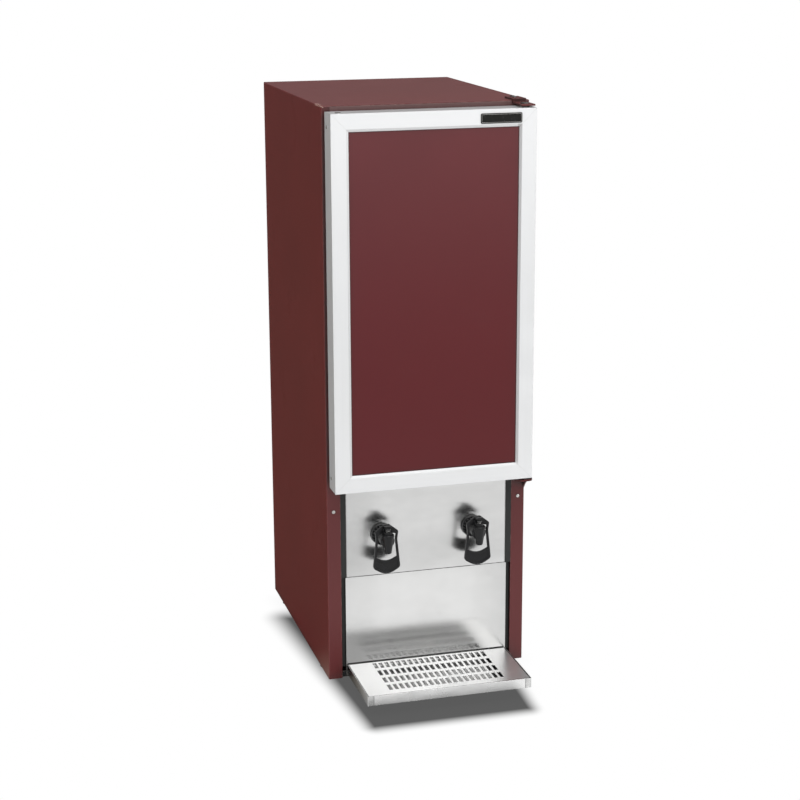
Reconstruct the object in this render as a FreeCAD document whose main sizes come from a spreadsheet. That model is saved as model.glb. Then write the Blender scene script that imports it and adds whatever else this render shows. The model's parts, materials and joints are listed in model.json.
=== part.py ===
import FreeCAD, Part
import math
import os
import Sketcher
from types import SimpleNamespace

# A refrigerated wine dispenser with two taps: a tall insulated cabinet with a
# framed door over the wine bay, a steel tap panel and a steel splash panel below
# it, a drip tray that hangs in front, and a compressor in the base.
# X runs to the right, Y to the back, Z up. Heights start at the table top.
# Depths (y) in this file start at the front face of the cabinet's columns; every
# sub-part's Placement then moves it so that the origin is under the middle of
# the whole dispenser.

Vector = FreeCAD.Vector
doc = FreeCAD.newDocument("WineDispenser")

# ---------------------------------------------------------------- driving sizes
SIZES = [
    ("cabinet_width", 320, "over the two side walls"),
    ("cabinet_depth", 420, "column face to back panel"),
    ("body_height", 896, "bottom edge to top of the cabinet"),
    ("foot_height", 10, "table top to bottom edge"),
    ("foot_radius", 14, ""),
    ("foot_inset_side", 17, "side wall to foot centre"),
    ("foot_inset_front", 75, "column face to front foot"),
    ("foot_inset_back", 53, "back panel to rear foot"),
    ("sheet_wall", 1, "painted and stainless sheet"),
    ("edge_radius", 1.6, "bends of the painted wrap"),
    ("column_width", 21.5, "front face beside the panels"),
    ("corner_width", 13.5, "front face beside the top rail"),
    ("rail_height", 25.5, "top rail"),
    ("hem_depth", 12, "returns of the front flanges"),
    ("trim_wall", 1.5, "front plate of the black frame"),
    ("foam_front", 14, "front of the foam behind the flanges"),
    ("foam_side", 27.5, "foam in the side walls"),
    ("foam_back", 40.5, "foam in the back wall"),
    ("foam_top", 31.5, "foam in the top"),
    ("liner_wall", 1.5, "inner tub"),
    ("liner_radius", 12, "inside corners of the tub"),
    ("ledge_reach", 5, "shelf ledges of the tub"),
    ("sill_height", 342, "bottom edge to the mouth of the tub"),
    ("floor_height", 205, "bottom edge to the floor of the tub"),
    ("tap_wall", 36, "column face to the tub behind the taps"),
    ("machine_height", 178, "bottom edge to the foam"),
    ("seam_height", 167, "bottom edge to the tap panel"),
    ("seam_gap", 0.7, "dark line between the two panels"),
    ("panel_setback", 1.5, "tap panel behind the columns"),
    ("tap_spacing", 147, ""),
    ("tap_height", 234, "bottom edge to the tap centre"),
    ("tap_reach", 40, "column face to the spout"),
    ("collar_radius", 16.7, ""),
    ("barrel_radius", 11, ""),
    ("shank_radius", 10, ""),
    ("spout_top_radius", 9.25, ""),
    ("spout_tip_radius", 5.4, ""),
    ("spout_length", 26.5, ""),
    ("bore_radius", 3.2, "waterway"),
    ("stem_radius", 2.3, ""),
    ("running_gap", 0.05, "shafts in their bores"),
    ("seat_gap", 0.3, "faces of pieces that move apart"),
    ("lever_half_width", 21.5, "paddle of the lever"),
    ("lever_drop", 72, "pin to the tip of the paddle"),
    ("lever_thick", 4.2, ""),
    ("arm_width", 3.2, ""),
    ("lever_plane", 30.5, "column face to the middle of the lever"),
    ("pin_radius", 1.5, ""),
    ("door_side_gap", 3.5, "side wall to the edge of the door"),
    ("door_height", 570, ""),
    ("door_thick", 37.7, ""),
    ("door_gap", 7.6, "door to columns, filled by the gasket"),
    ("door_drop", 7.5, "top of the cabinet to top of the door"),
    ("frame_face", 22.8, "flat of the door frame"),
    ("frame_lip", 3.8, "stepped lip round the door panel"),
    ("frame_wall", 1.6, ""),
    ("gasket_inset", 14.5, "edge of the door to the gasket"),
    ("gasket_width", 14, ""),
    ("hinge_inset", 18, "side of the cabinet to the hinge pin"),
    ("hinge_reach", 30, "column face to the hinge pin"),
    ("hinge_pin_radius", 4, ""),
    ("bush_radius", 6.2, ""),
    ("bush_flange", 2.3, ""),
    ("bush_depth", 15, ""),
    ("tray_width", 261.3, ""),
    ("tray_reach", 130, "column face to the front of the tray"),
    ("tray_height", 15.4, ""),
    ("tray_top", 22.2, "bottom edge to the top of the tray"),
    ("tray_back_gap", 1.3, "tray to the column face"),
    ("slot_width", 5.7, ""),
    ("slot_length", 20.5, ""),
    ("slot_pitch", 9.36, ""),
    ("slot_columns", 20, ""),
    ("row_pitch", 28.6, ""),
    ("slot_rows", 4, ""),
    ("shelf_wire_pitch", 25, ""),
    ("lower_shelf_rise", 4, "mouth of the tub to the lower ledge"),
    ("shelf_spacing", 262, ""),
    ("hose_radius", 5, ""),
    ("compressor_radius", 60, ""),
    ("compressor_height", 128, ""),
    ("fan_radius", 56, ""),
    ("fan_blades", 5, ""),
    ("grille_setback", 15, "rear grille inside the back edges"),
    ("knob_radius", 15, ""),
]


class Size:
    """A number together with the sheet expression that gives it."""

    def __init__(self, value, text):
        self.value = float(value)
        self.text = text

    def __float__(self):
        return self.value

    def __add__(self, other):
        return Size(self.value + float(other), f"({self.text} + {text_of(other)})")

    def __radd__(self, other):
        return Size(float(other) + self.value, f"({text_of(other)} + {self.text})")

    def __sub__(self, other):
        return Size(self.value - float(other), f"({self.text} - {text_of(other)})")

    def __rsub__(self, other):
        return Size(float(other) - self.value, f"({text_of(other)} - {self.text})")

    def __mul__(self, other):
        return Size(self.value * float(other), f"({self.text} * {text_of(other)})")

    def __rmul__(self, other):
        return Size(float(other) * self.value, f"({text_of(other)} * {self.text})")

    def __truediv__(self, other):
        return Size(self.value / float(other), f"({self.text} / {text_of(other)})")

    def __neg__(self):
        return Size(-self.value, f"(-1 * {self.text})")


def fixed(value):
    """A plain number in millimetres, for a length the sheet doesn't drive."""
    return Size(value, f"{value}")


def text_of(number):
    """The expression of a Size, or the digits of a plain number."""
    return number.text if isinstance(number, Size) else f"{float(number):.6f}"


def write_sheet():
    """Fill the spreadsheet and return its cells as Sizes, by alias."""
    sheet = doc.addObject("Spreadsheet::Sheet", "Sizes")
    cells = {}
    for row, (alias, value, note) in enumerate(SIZES, start=1):
        sheet.set(f"A{row}", alias)
        sheet.set(f"B{row}", str(value))
        sheet.set(f"C{row}", note)
        sheet.setAlias(f"B{row}", alias)
        cells[alias] = Size(value, f"Sizes.{alias}")
    doc.recompute()
    return SimpleNamespace(**cells)


s = write_sheet()

# ------------------------------------------------------- places worked out once
bottom_z = s.foot_height
top_z = bottom_z + s.body_height
half_width = s.cabinet_width / 2
inner_x = half_width - s.sheet_wall
column_x = half_width - s.column_width
rail_x = half_width - s.corner_width
rail_z = top_z - s.rail_height
back_y = s.cabinet_depth
grille_y = back_y - s.grille_setback
origin_shift = (s.tray_reach - s.cabinet_depth) / 2

tub_x = inner_x - s.foam_side - s.liner_wall
tub_skin_x = tub_x + s.liner_wall
mouth_z = bottom_z + s.sill_height
floor_z = bottom_z + s.floor_height
ceiling_z = top_z - s.sheet_wall - s.foam_top - s.liner_wall
tub_back_y = back_y - s.foam_back - s.liner_wall * 3
foam_z = bottom_z + s.machine_height
seam_z = bottom_z + s.seam_height
base_z = bottom_z + 0.8
base_top_z = base_z + 1.2
trim_low_z = mouth_z - 14

tap_x = s.tap_spacing / 2
tap_z = bottom_z + s.tap_height
spout_y = -s.tap_reach
lever_y = -s.lever_plane
cap_z = tap_z + s.barrel_radius + 1
pin_z = cap_z + 6
stem_top_z = pin_z + 2.6

door_x = half_width - s.door_side_gap
door_back_y = -s.door_gap
door_front_y = door_back_y - s.door_thick
door_top_z = top_z - s.door_drop
door_low_z = door_top_z - s.door_height
lip_width = s.frame_face + s.frame_lip
panel_y = door_front_y + 3
hinge_x = half_width - s.hinge_inset
hinge_y = -s.hinge_reach
bush_gap = s.seat_gap

tray_top_z = bottom_z + s.tray_top
tray_low_z = tray_top_z - s.tray_height
tray_x = s.tray_width / 2
tray_back_y = -s.tray_back_gap
tray_front_y = -s.tray_reach

ledge_z = mouth_z + s.lower_shelf_rise
suction_x = 84
suction_hole = 6.5
suction_y = tub_back_y - 25.5
slot_span = (s.slot_columns - 1) * s.slot_pitch
side_hole_radius = 2.0
column_screw_z = bottom_z + 276
column_screw_x = half_width - s.column_width / 2
top_screw_ys = (17, 28)
leg_screw_rises = (7, 18)
fan_x = 38
fan_z = bottom_z + 88
condenser_y = 44
condenser_depth = 38
shroud_y = condenser_y + condenser_depth
compressor_x = -half_width + 88
compressor_y = back_y - 150
compressor_z = base_top_z + 10
knob_x = -half_width + 62
knob_z = bottom_z + 118
inlet_x = half_width - 60
inlet_z = bottom_z + 48

parts = []


# ------------------------------------------------------------------ small tools
def bind(item, path, size):
    """Tie one property of a document object to its sheet expression."""
    item.setExpression(path, text_of(size))


def hand_over(item, label):
    """Name a finished sub-part and put it at its place in the dispenser's frame."""
    item.Label = label
    bind(item, "Placement.Base.y", origin_shift)
    parts.append(item)
    return item


def new_body(name):
    return doc.addObject("PartDesign::Body", name)


def plane_of(body, role):
    return [item for item in body.Origin.OriginFeatures if item.Role == role][0]


def new_sketch(body, name, role, at=(0, 0, 0)):
    """A sketch on one of the body's own origin planes, moved by at in its own axes."""
    sketch = body.newObject("Sketcher::SketchObject", name)
    sketch.AttachmentSupport = (plane_of(body, role), [""])
    sketch.MapMode = "FlatFace"
    for axis, size in zip("xyz", at):
        bind(sketch, f"AttachmentOffset.Base.{axis}", size)
    return sketch


def fix_point(sketch, curve, end, x, y):
    """Hold one end of a curve, or a centre, at x, y from the sketch's origin."""
    for kind, size in (("DistanceX", x), ("DistanceY", y)):
        rule = Sketcher.Constraint(kind, -1, 1, curve, end, float(size))
        index = sketch.addConstraint(rule)
        bind(sketch, f"Constraints[{index}]", size)


def fix_radius(sketch, curve, radius):
    index = sketch.addConstraint(Sketcher.Constraint("Radius", curve, float(radius)))
    bind(sketch, f"Constraints[{index}]", radius)


def draw_circle(sketch, x, y, radius):
    centre = Vector(float(x), float(y), 0)
    circle = Part.Circle(centre, Vector(0, 0, 1), float(radius))
    curve = sketch.addGeometry(circle, False)
    fix_point(sketch, curve, 3, x, y)
    fix_radius(sketch, curve, radius)


def draw_polygon(sketch, points):
    """A closed outline of straight lines through the given points."""
    ends = [Vector(float(x), float(y), 0) for x, y in points]
    first = sketch.GeometryCount
    count = len(ends)
    lines = [Part.LineSegment(ends[i], ends[(i + 1) % count]) for i in range(count)]
    sketch.addGeometry(lines, False)
    joints = [
        Sketcher.Constraint("Coincident", first + i, 2, first + (i + 1) % count, 1)
        for i in range(count)
    ]
    sketch.addConstraint(joints)
    for i, (x, y) in enumerate(points):
        fix_point(sketch, first + i, 1, x, y)


def draw_box(sketch, x0, x1, y0, y1):
    draw_polygon(sketch, [(x0, y0), (x1, y0), (x1, y1), (x0, y1)])


def draw_rounded(sketch, corners):
    """A closed outline with an arc at each corner (x, y, radius).

    Construction points hold the sharp corners; the arcs are tangent to the lines.
    """
    count = len(corners)
    sharp = [Vector(float(x), float(y), 0) for x, y, _ in corners]
    area = sum(sharp[i].x * sharp[i - 1].y - sharp[i - 1].x * sharp[i].y for i in range(count))
    starts, stops, arcs, turns = [], [], [], []
    for i in range(count):
        radius = float(corners[i][2])
        to_last = (sharp[i - 1] - sharp[i]).normalize()
        to_next = (sharp[(i + 1) % count] - sharp[i]).normalize()
        half = to_last.getAngle(to_next) / 2
        reach = radius / math.tan(half)
        stop = sharp[i] + to_last * reach
        start = sharp[i] + to_next * reach
        centre = sharp[i] + (to_last + to_next).normalize() * (radius / math.sin(half))
        left_turn = to_last.cross(to_next).z < 0
        arc_from, arc_to = (stop, start) if left_turn else (start, stop)
        circle = Part.Circle(centre, Vector(0, 0, 1), radius)
        low = math.atan2(arc_from.y - centre.y, arc_from.x - centre.x)
        high = math.atan2(arc_to.y - centre.y, arc_to.x - centre.x)
        starts.append(start)
        stops.append(stop)
        arcs.append(Part.ArcOfCircle(circle, low, high))
        turns.append(left_turn)
    first = sketch.GeometryCount
    for i in range(count):
        line = Part.LineSegment(starts[i], stops[(i + 1) % count])
        sketch.addGeometry(line, False)
    for arc in arcs:
        sketch.addGeometry(arc, False)
    for corner in sharp:
        sketch.addGeometry(Part.Point(corner), True)
    for i, (x, y, radius) in enumerate(corners):
        before = first + (i - 1) % count
        after = first + i
        arc = first + count + i
        point = first + 2 * count + i
        near, far = (1, 2) if turns[i] else (2, 1)
        sketch.addConstraint(Sketcher.Constraint("Tangent", before, 2, arc, near))
        sketch.addConstraint(Sketcher.Constraint("Tangent", arc, far, after, 1))
        sketch.addConstraint(Sketcher.Constraint("PointOnObject", point, 1, before))
        sketch.addConstraint(Sketcher.Constraint("PointOnObject", point, 1, after))
        fix_point(sketch, point, 1, x, y)
        fix_radius(sketch, arc, radius)
    return area


def draw_rounded_box(sketch, x0, x1, y0, y1, radius):
    draw_rounded(sketch, [(x0, y0, radius), (x1, y0, radius), (x1, y1, radius), (x0, y1, radius)])


# The plane, the index of the axis along its normal, and whether the normal points
# down that axis. A sketch on XZ_Plane reads (x, z) and its normal is -Y.
PLANES = {"z": ("XY_Plane", False), "y": ("XZ_Plane", True), "x": ("YZ_Plane", False)}


def add_pad(body, name, axis, low, high, draw):
    """Add material between low and high along an axis; draw makes the outline."""
    role, backwards = PLANES[axis]
    start = -high if backwards else low
    sketch = new_sketch(body, name + "Sketch", role, (0, 0, start))
    draw(sketch)
    pad = body.newObject("PartDesign::Pad", name)
    pad.Profile = sketch
    bind(pad, "Length", high - low)
    sketch.Visibility = False
    return pad


def add_cut(body, name, axis, low, high, draw):
    """Remove material between low and high along an axis."""
    role, backwards = PLANES[axis]
    start = -low if backwards else high
    sketch = new_sketch(body, name + "Sketch", role, (0, 0, start))
    draw(sketch)
    cut = body.newObject("PartDesign::Pocket", name)
    cut.Profile = sketch
    bind(cut, "Length", high - low)
    sketch.Visibility = False
    return cut


def add_turn(body, name, role, at, points, axis, groove=False):
    """Turn an outline about the sketch's own H_Axis or V_Axis."""
    sketch = new_sketch(body, name + "Sketch", role, at)
    draw_polygon(sketch, points)
    kind = "PartDesign::Groove" if groove else "PartDesign::Revolution"
    turn = body.newObject(kind, name)
    turn.Profile = sketch
    turn.ReferenceAxis = (sketch, [axis])
    turn.Angle = 360
    sketch.Visibility = False
    return turn


def add_fillet(body, name, base, chosen, radius):
    """Round the edges of base that chosen(edge) accepts."""
    doc.recompute()
    edges = [f"Edge{i}" for i, edge in enumerate(base.Shape.Edges, start=1) if chosen(edge)]
    fillet = body.newObject("PartDesign::Fillet", name)
    fillet.Base = (base, edges)
    bind(fillet, "Radius", radius)
    return fillet


def add_row(body, name, feature, sketch_axis, length, count):
    """Repeat a feature along one axis of its own sketch."""
    row = body.newObject("PartDesign::LinearPattern", name)
    row.Originals = [feature]
    row.Direction = (feature.Profile[0], [sketch_axis])
    bind(row, "Length", length)
    bind(row, "Occurrences", count)
    body.Tip = row
    return row


def spans(edge, axis, value):
    """True when the whole edge lies at one value of an axis."""
    box = edge.BoundBox
    low, high = getattr(box, axis + "Min"), getattr(box, axis + "Max")
    return abs(low - float(value)) < 0.01 and abs(high - float(value)) < 0.01


def box_of(name, x0, x1, y0, y1, z0, z1):
    """A Part box between two corners."""
    item = doc.addObject("Part::Box", name)
    for path, size in (("Length", x1 - x0), ("Width", y1 - y0), ("Height", z1 - z0)):
        bind(item, path, size)
    for axis, size in zip("xyz", (x0, y0, z0)):
        bind(item, f"Placement.Base.{axis}", size)
    return item


TURNS = {
    "z": FreeCAD.Rotation(),
    "x": FreeCAD.Rotation(Vector(0, 1, 0), 90),
    "y": FreeCAD.Rotation(Vector(1, 0, 0), -90),
}


def rod_of(name, axis, radius, x, y, z, length):
    """A Part cylinder that starts at x, y, z and runs up its axis."""
    item = doc.addObject("Part::Cylinder", name)
    bind(item, "Radius", radius)
    bind(item, "Height", length)
    item.Placement = FreeCAD.Placement(Vector(), TURNS[axis])
    for letter, size in zip("xyz", (x, y, z)):
        bind(item, f"Placement.Base.{letter}", size)
    return item


def fuse(name, items):
    item = doc.addObject("Part::MultiFuse", name)
    item.Shapes = items
    return item


def cut(name, base, tool):
    item = doc.addObject("Part::Cut", name)
    item.Base = base
    item.Tool = tool
    return item


def group(name, items):
    """Like pieces that share one node, each still a solid of its own."""
    item = doc.addObject("Part::Compound", name)
    item.Links = items
    return item


def pan_screw(name, axis, x, y, z, head_radius, head_high, length):
    """A pan-head screw: the head starts at x, y, z, the shank runs up the axis."""
    step = {"x": (head_high, 0, 0), "y": (0, head_high, 0), "z": (0, 0, head_high)}[axis]
    head = rod_of(name + "Head", axis, head_radius, x, y, z, head_high)
    shank = rod_of(name + "Shank", axis, 1.7, x + step[0], y + step[1], z + step[2], length)
    return fuse(name, [head, shank])


def pipe_shape(points, radius, bend):
    """A round tube through points, its corners rounded by tangent arcs."""
    ends = [Vector(*[float(value) for value in point]) for point in points]
    edges = []
    last = ends[0]
    for i in range(1, len(ends) - 1):
        back = (ends[i - 1] - ends[i]).normalize()
        ahead = (ends[i + 1] - ends[i]).normalize()
        half = back.getAngle(ahead) / 2
        reach = bend / math.tan(half)
        start = ends[i] + back * reach
        stop = ends[i] + ahead * reach
        centre = ends[i] + (back + ahead).normalize() * (bend / math.sin(half))
        middle = centre + (ends[i] - centre).normalize() * bend
        edges.append(Part.LineSegment(last, start).toShape())
        edges.append(Part.Arc(start, middle, stop).toShape())
        last = stop
    edges.append(Part.LineSegment(last, ends[-1]).toShape())
    path = Part.Wire(edges)
    direction = (ends[1] - ends[0]).normalize()
    ring = Part.Wire([Part.makeCircle(float(radius), ends[0], direction)])
    return path.makePipeShell([ring], True, False)


def shape_part(name, shape):
    """A Part::Feature for a form that is neither a sketch feature nor a primitive."""
    item = doc.addObject("Part::Feature", name)
    item.Shape = shape
    return item


# ------------------------------------------------------------- painted cabinet
def make_outer_shell():
    """Sides, top and the two front columns, folded from one painted sheet."""
    body = new_body("OuterShell")
    block = add_pad(
        body, "Block", "y", fixed(0), back_y,
        lambda k: draw_box(k, -half_width, half_width, bottom_z, top_z))

    def is_bend(edge):
        on_front = spans(edge, "Y", 0) and not spans(edge, "Z", bottom_z)
        along_top = spans(edge, "Z", top_z)
        along_side = spans(edge, "X", half_width) or spans(edge, "X", -half_width)
        return on_front or (along_top and along_side)

    add_fillet(body, "Bends", block, is_bend, s.edge_radius)
    add_cut(
        body, "Hollow", "y", s.sheet_wall, back_y + 1,
        lambda k: draw_box(k, -inner_x, inner_x, bottom_z - 1, top_z - s.sheet_wall))
    add_cut(body, "FrontOpening", "y", fixed(-1), s.sheet_wall + 0.5, draw_front_opening)
    for side, letter in ((-1, "L"), (1, "R")):
        x0 = column_x if side > 0 else -column_x - s.sheet_wall
        add_pad(
            body, "Hem" + letter, "y", s.sheet_wall * 0.5, s.hem_depth,
            lambda k: draw_box(k, x0, x0 + s.sheet_wall, bottom_z + 4, rail_z))
    add_cut(body, "ScrewHoles", "y", fixed(-1), s.sheet_wall + 0.5, draw_column_holes)
    add_cut(
        body, "HingeHoles", "z", top_z - s.sheet_wall - 0.5, top_z + 1,
        lambda k: [draw_circle(k, hinge_x, y, side_hole_radius) for y in top_screw_ys])
    hand_over(body, "outer_shell")


def draw_front_opening(sketch):
    draw_polygon(sketch, [
        (-column_x, bottom_z - 1), (column_x, bottom_z - 1),
        (column_x, rail_z), (rail_x, rail_z),
        (rail_x, top_z - s.sheet_wall), (-rail_x, top_z - s.sheet_wall),
        (-rail_x, rail_z), (-column_x, rail_z)])


def draw_column_holes(sketch):
    for side in (-1, 1):
        draw_circle(sketch, column_screw_x * side, column_screw_z, side_hole_radius)
    for rise in leg_screw_rises:
        draw_circle(sketch, column_screw_x, door_low_z + rise, side_hole_radius)


def make_top_rail():
    """Front rail between the columns, with a return along its top and bottom."""
    body = new_body("TopRail")
    wall = s.sheet_wall
    high_z = top_z - wall
    add_pad(
        body, "Rail", "x", -rail_x + 0.15, rail_x - 0.15,
        lambda k: draw_polygon(k, [
            (0, rail_z), (s.hem_depth, rail_z), (s.hem_depth, rail_z + wall),
            (wall, rail_z + wall), (wall, high_z - wall), (s.hem_depth, high_z - wall),
            (s.hem_depth, high_z), (0.6, high_z), (0, high_z - 0.6)]))
    hand_over(body, "top_rail")


def make_front_trim():
    """Black frame round the mouth, with two legs down beside both steel panels."""
    body = new_body("FrontTrim")
    edge_x = column_x - 0.1
    face_y = s.trim_wall
    spine_x = edge_x - 0.5
    spine_in_x = tub_skin_x + 0.2
    leg_in_x = tub_x

    def draw_face(sketch):
        draw_polygon(sketch, [
            (-edge_x, seam_z), (-leg_in_x, seam_z), (-leg_in_x, trim_low_z),
            (leg_in_x, trim_low_z), (leg_in_x, seam_z), (edge_x, seam_z),
            (edge_x, rail_z - 0.1), (-edge_x, rail_z - 0.1)])
        draw_box(sketch, -tub_x, tub_x, mouth_z, ceiling_z)

    def draw_spine(sketch):
        draw_polygon(sketch, [
            (-spine_x, seam_z + 1), (-spine_in_x, seam_z + 1),
            (-spine_in_x, trim_low_z + 1.5), (spine_in_x, trim_low_z + 1.5),
            (spine_in_x, seam_z + 1), (spine_x, seam_z + 1),
            (spine_x, rail_z - 0.6), (-spine_x, rail_z - 0.6)])
        draw_box(
            sketch, -spine_in_x, spine_in_x,
            mouth_z - s.liner_wall - 0.2, ceiling_z + s.liner_wall + 0.2)

    add_pad(body, "Face", "y", fixed(0), face_y, draw_face)
    add_pad(body, "Spine", "y", face_y, s.foam_front - 1, draw_spine)
    for side, letter in ((-1, "L"), (1, "R")):
        x0 = spine_in_x if side > 0 else -spine_x
        add_pad(
            body, "Leg" + letter, "y", face_y + 4, s.foam_front - 1,
            lambda k: draw_box(k, x0, x0 + (spine_x - spine_in_x), bottom_z + 17, seam_z + 3))
    hand_over(body, "front_trim")


def make_panels():
    """Stainless tap panel and splash panel, each a sheet with folded edges."""
    wall = s.sheet_wall
    hole = s.shank_radius + 0.4
    tap_panel = new_body("TapPanel")
    y0 = s.panel_setback
    half = tub_x - 0.2
    add_pad(
        tap_panel, "Face", "y", y0, y0 + wall,
        lambda k: draw_box(k, -half, half, seam_z, trim_low_z - 0.2))
    for side, letter in ((-1, "L"), (1, "R")):
        x0 = half - wall if side > 0 else -half
        add_pad(
            tap_panel, "Fold" + letter, "y", y0 + wall * 0.5, s.hem_depth,
            lambda k: draw_box(k, x0, x0 + wall, seam_z, trim_low_z - 0.2))
    add_pad(
        tap_panel, "FoldLow", "y", y0 + wall * 0.5, s.hem_depth,
        lambda k: draw_box(k, -half, half, seam_z, seam_z + wall))
    add_cut(
        tap_panel, "TapHoles", "y", y0 - 1, y0 + wall + 1,
        lambda k: [draw_circle(k, tap_x * side, tap_z, hole) for side in (-1, 1)])
    hand_over(tap_panel, "tap_panel")

    splash = new_body("SplashPanel")
    y0 = fixed(1)
    half = tub_x + 1.4
    low_z = bottom_z + 3
    high_z = seam_z - s.seam_gap
    add_pad(splash, "Face", "y", y0, y0 + wall, lambda k: draw_box(k, -half, half, low_z, high_z))
    for side, letter in ((-1, "L"), (1, "R")):
        x0 = half - wall if side > 0 else -half
        add_pad(
            splash, "Fold" + letter, "y", y0 + wall * 0.5, s.foam_front + 2,
            lambda k: draw_box(k, x0, x0 + wall, low_z + 14, high_z))
    add_pad(
        splash, "FoldTop", "y", y0 + wall * 0.5, s.foam_front,
        lambda k: draw_box(k, -half, half, high_z - wall, high_z))
    add_cut(
        splash, "StudHoles", "y", y0 - 1, y0 + wall + 1,
        lambda k: [draw_circle(k, stud_x() * side, stud_z(), 2.5) for side in (-1, 1)])
    hand_over(splash, "splash_panel")


def stud_x():
    return tray_x - 40


def stud_z():
    return tray_top_z - 7


def make_tray_studs():
    """Two riveted studs; the rolled back rim of the drip tray hangs on them."""
    studs = []
    wall = s.sheet_wall
    for side, letter in ((-1, "L"), (1, "R")):
        body = new_body("TrayStud" + letter)
        head_y = tray_back_y - wall - 0.8
        add_turn(
            body, "Turn", "YZ_Plane", (0, stud_z(), stud_x() * side),
            [(head_y - 1.6, 0), (head_y - 1.6, 3.4), (head_y - 1.0, 4.4), (head_y, 4.4),
             (head_y, 2.4), (2 + wall, 2.4), (2 + wall, 4), (3.5 + wall, 3.4),
             (3.5 + wall, 0)], "H_Axis")
        studs.append(body)
    hand_over(group("TrayStuds", studs), "tray_studs")


# ----------------------------------------------------------- tub, foam and back
def draw_tub_side(sketch, front_y, offset):
    """Side view of the tub: a deep bay whose lower front wall stands behind the taps."""
    draw_polygon(sketch, [
        (front_y, mouth_z - offset), (s.tap_wall + s.liner_wall - offset, mouth_z - offset),
        (s.tap_wall + s.liner_wall - offset, floor_z - offset),
        (tub_back_y + offset, floor_z - offset),
        (tub_back_y + offset, ceiling_z + offset), (front_y, ceiling_z + offset)])


def make_inner_liner():
    """White inner tub with shelf ledges moulded into its side walls."""
    wall = s.liner_wall
    bay = new_body("Bay")
    block = add_pad(bay, "Block", "x", -tub_x, tub_x, lambda k: draw_tub_side(k, 0, 0))
    add_fillet(bay, "Corners", block, lambda edge: spans(edge, "Y", tub_back_y), s.liner_radius)
    body = new_body("InnerLiner")
    skin = add_pad(
        body, "Skin", "x", -tub_skin_x, tub_skin_x,
        lambda k: draw_tub_side(k, s.trim_wall, wall))
    back = tub_back_y + wall
    add_fillet(body, "SkinCorners", skin, lambda edge: spans(edge, "Y", back), s.liner_radius + wall)
    hollow = body.newObject("PartDesign::Boolean", "Hollow")
    hollow.setObjects([bay])
    hollow.Type = "Cut"
    for level, letter in ((0, "Low"), (1, "High")):
        z1 = ledge_z + s.shelf_spacing * level
        for side, hand in ((-1, "L"), (1, "R")):
            x0 = tub_x - s.ledge_reach if side > 0 else -tub_x - 0.5
            add_pad(
                body, "Ledge" + letter + hand, "y", s.tap_wall + 0.5, tub_back_y - 40,
                lambda k: draw_ledge(k, x0, side, z1))
    add_cut(
        body, "TapHoles", "y", s.tap_wall - 1, s.tap_wall + wall + 1,
        lambda k: [draw_circle(k, tap_x * side, tap_z, s.shank_radius + 0.6) for side in (-1, 1)])
    add_cut(
        body, "SuctionHole", "z", floor_z - wall - 1, floor_z + 1,
        lambda k: draw_circle(k, suction_x, suction_y, suction_hole))
    hand_over(body, "inner_liner")


def draw_ledge(sketch, x0, side, z1):
    """Ledge section: flat on top, sloping back to the wall below."""
    x1 = x0 + s.ledge_reach + 0.5
    wall_x, tip_x = (x1, x0) if side > 0 else (x0, x1)
    draw_polygon(sketch, [(wall_x, z1 - 12), (tip_x, z1 - 5), (tip_x, z1), (wall_x, z1)])


def make_insulation():
    """Foam between the wrap and the tub, and in the wall behind the tap panel."""
    body = new_body("Insulation")
    wall = s.liner_wall
    foam_back_y = back_y - s.sheet_wall - 2
    add_pad(
        body, "Block", "y", s.foam_front, foam_back_y,
        lambda k: draw_box(k, -inner_x, inner_x, foam_z, top_z - s.sheet_wall))
    add_cut(
        body, "TubSpace", "x", -tub_skin_x, tub_skin_x,
        lambda k: draw_tub_side(k, s.foam_front - 1, wall))
    add_pad(
        body, "TapWall", "y", s.panel_setback + s.sheet_wall, s.foam_front + 1,
        lambda k: draw_box(k, -tub_x + 2, tub_x - 2, seam_z + 14, trim_low_z - 1))
    add_cut(
        body, "TapHoles", "y", fixed(1), s.tap_wall + 1,
        lambda k: [draw_circle(k, tap_x * side, tap_z, s.shank_radius + 0.6) for side in (-1, 1)])
    add_cut(
        body, "SuctionHole", "z", foam_z - 1, floor_z + 1,
        lambda k: draw_circle(k, suction_x, suction_y, suction_hole))
    add_cut(
        body, "HingeScrewHoles", "z", top_z - 12, top_z,
        lambda k: [draw_circle(k, hinge_x, y, 2.2) for y in top_screw_ys])
    hand_over(body, "insulation_foam")


def make_rear_panel():
    """Flat back sheet with two pressed ribs that stiffen it."""
    body = new_body("RearPanel")
    wall = s.sheet_wall
    add_pad(
        body, "Sheet", "y", back_y - wall, back_y,
        lambda k: draw_box(k, -inner_x, inner_x, foam_z + 0.2, top_z - wall))
    for side, letter in ((-1, "L"), (1, "R")):
        mid = side * 75
        add_pad(
            body, "Rib" + letter, "y", back_y - wall - 1.6, back_y - wall + 0.2,
            lambda k: draw_rounded_box(k, mid - 22, mid + 22, foam_z + 70, top_z - 70, 12))
        add_cut(
            body, "Press" + letter, "y", back_y - wall - 0.6, back_y + 1,
            lambda k: draw_rounded_box(k, mid - 21, mid + 21, foam_z + 71, top_z - 71, 11))
    hand_over(body, "rear_panel")


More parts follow.
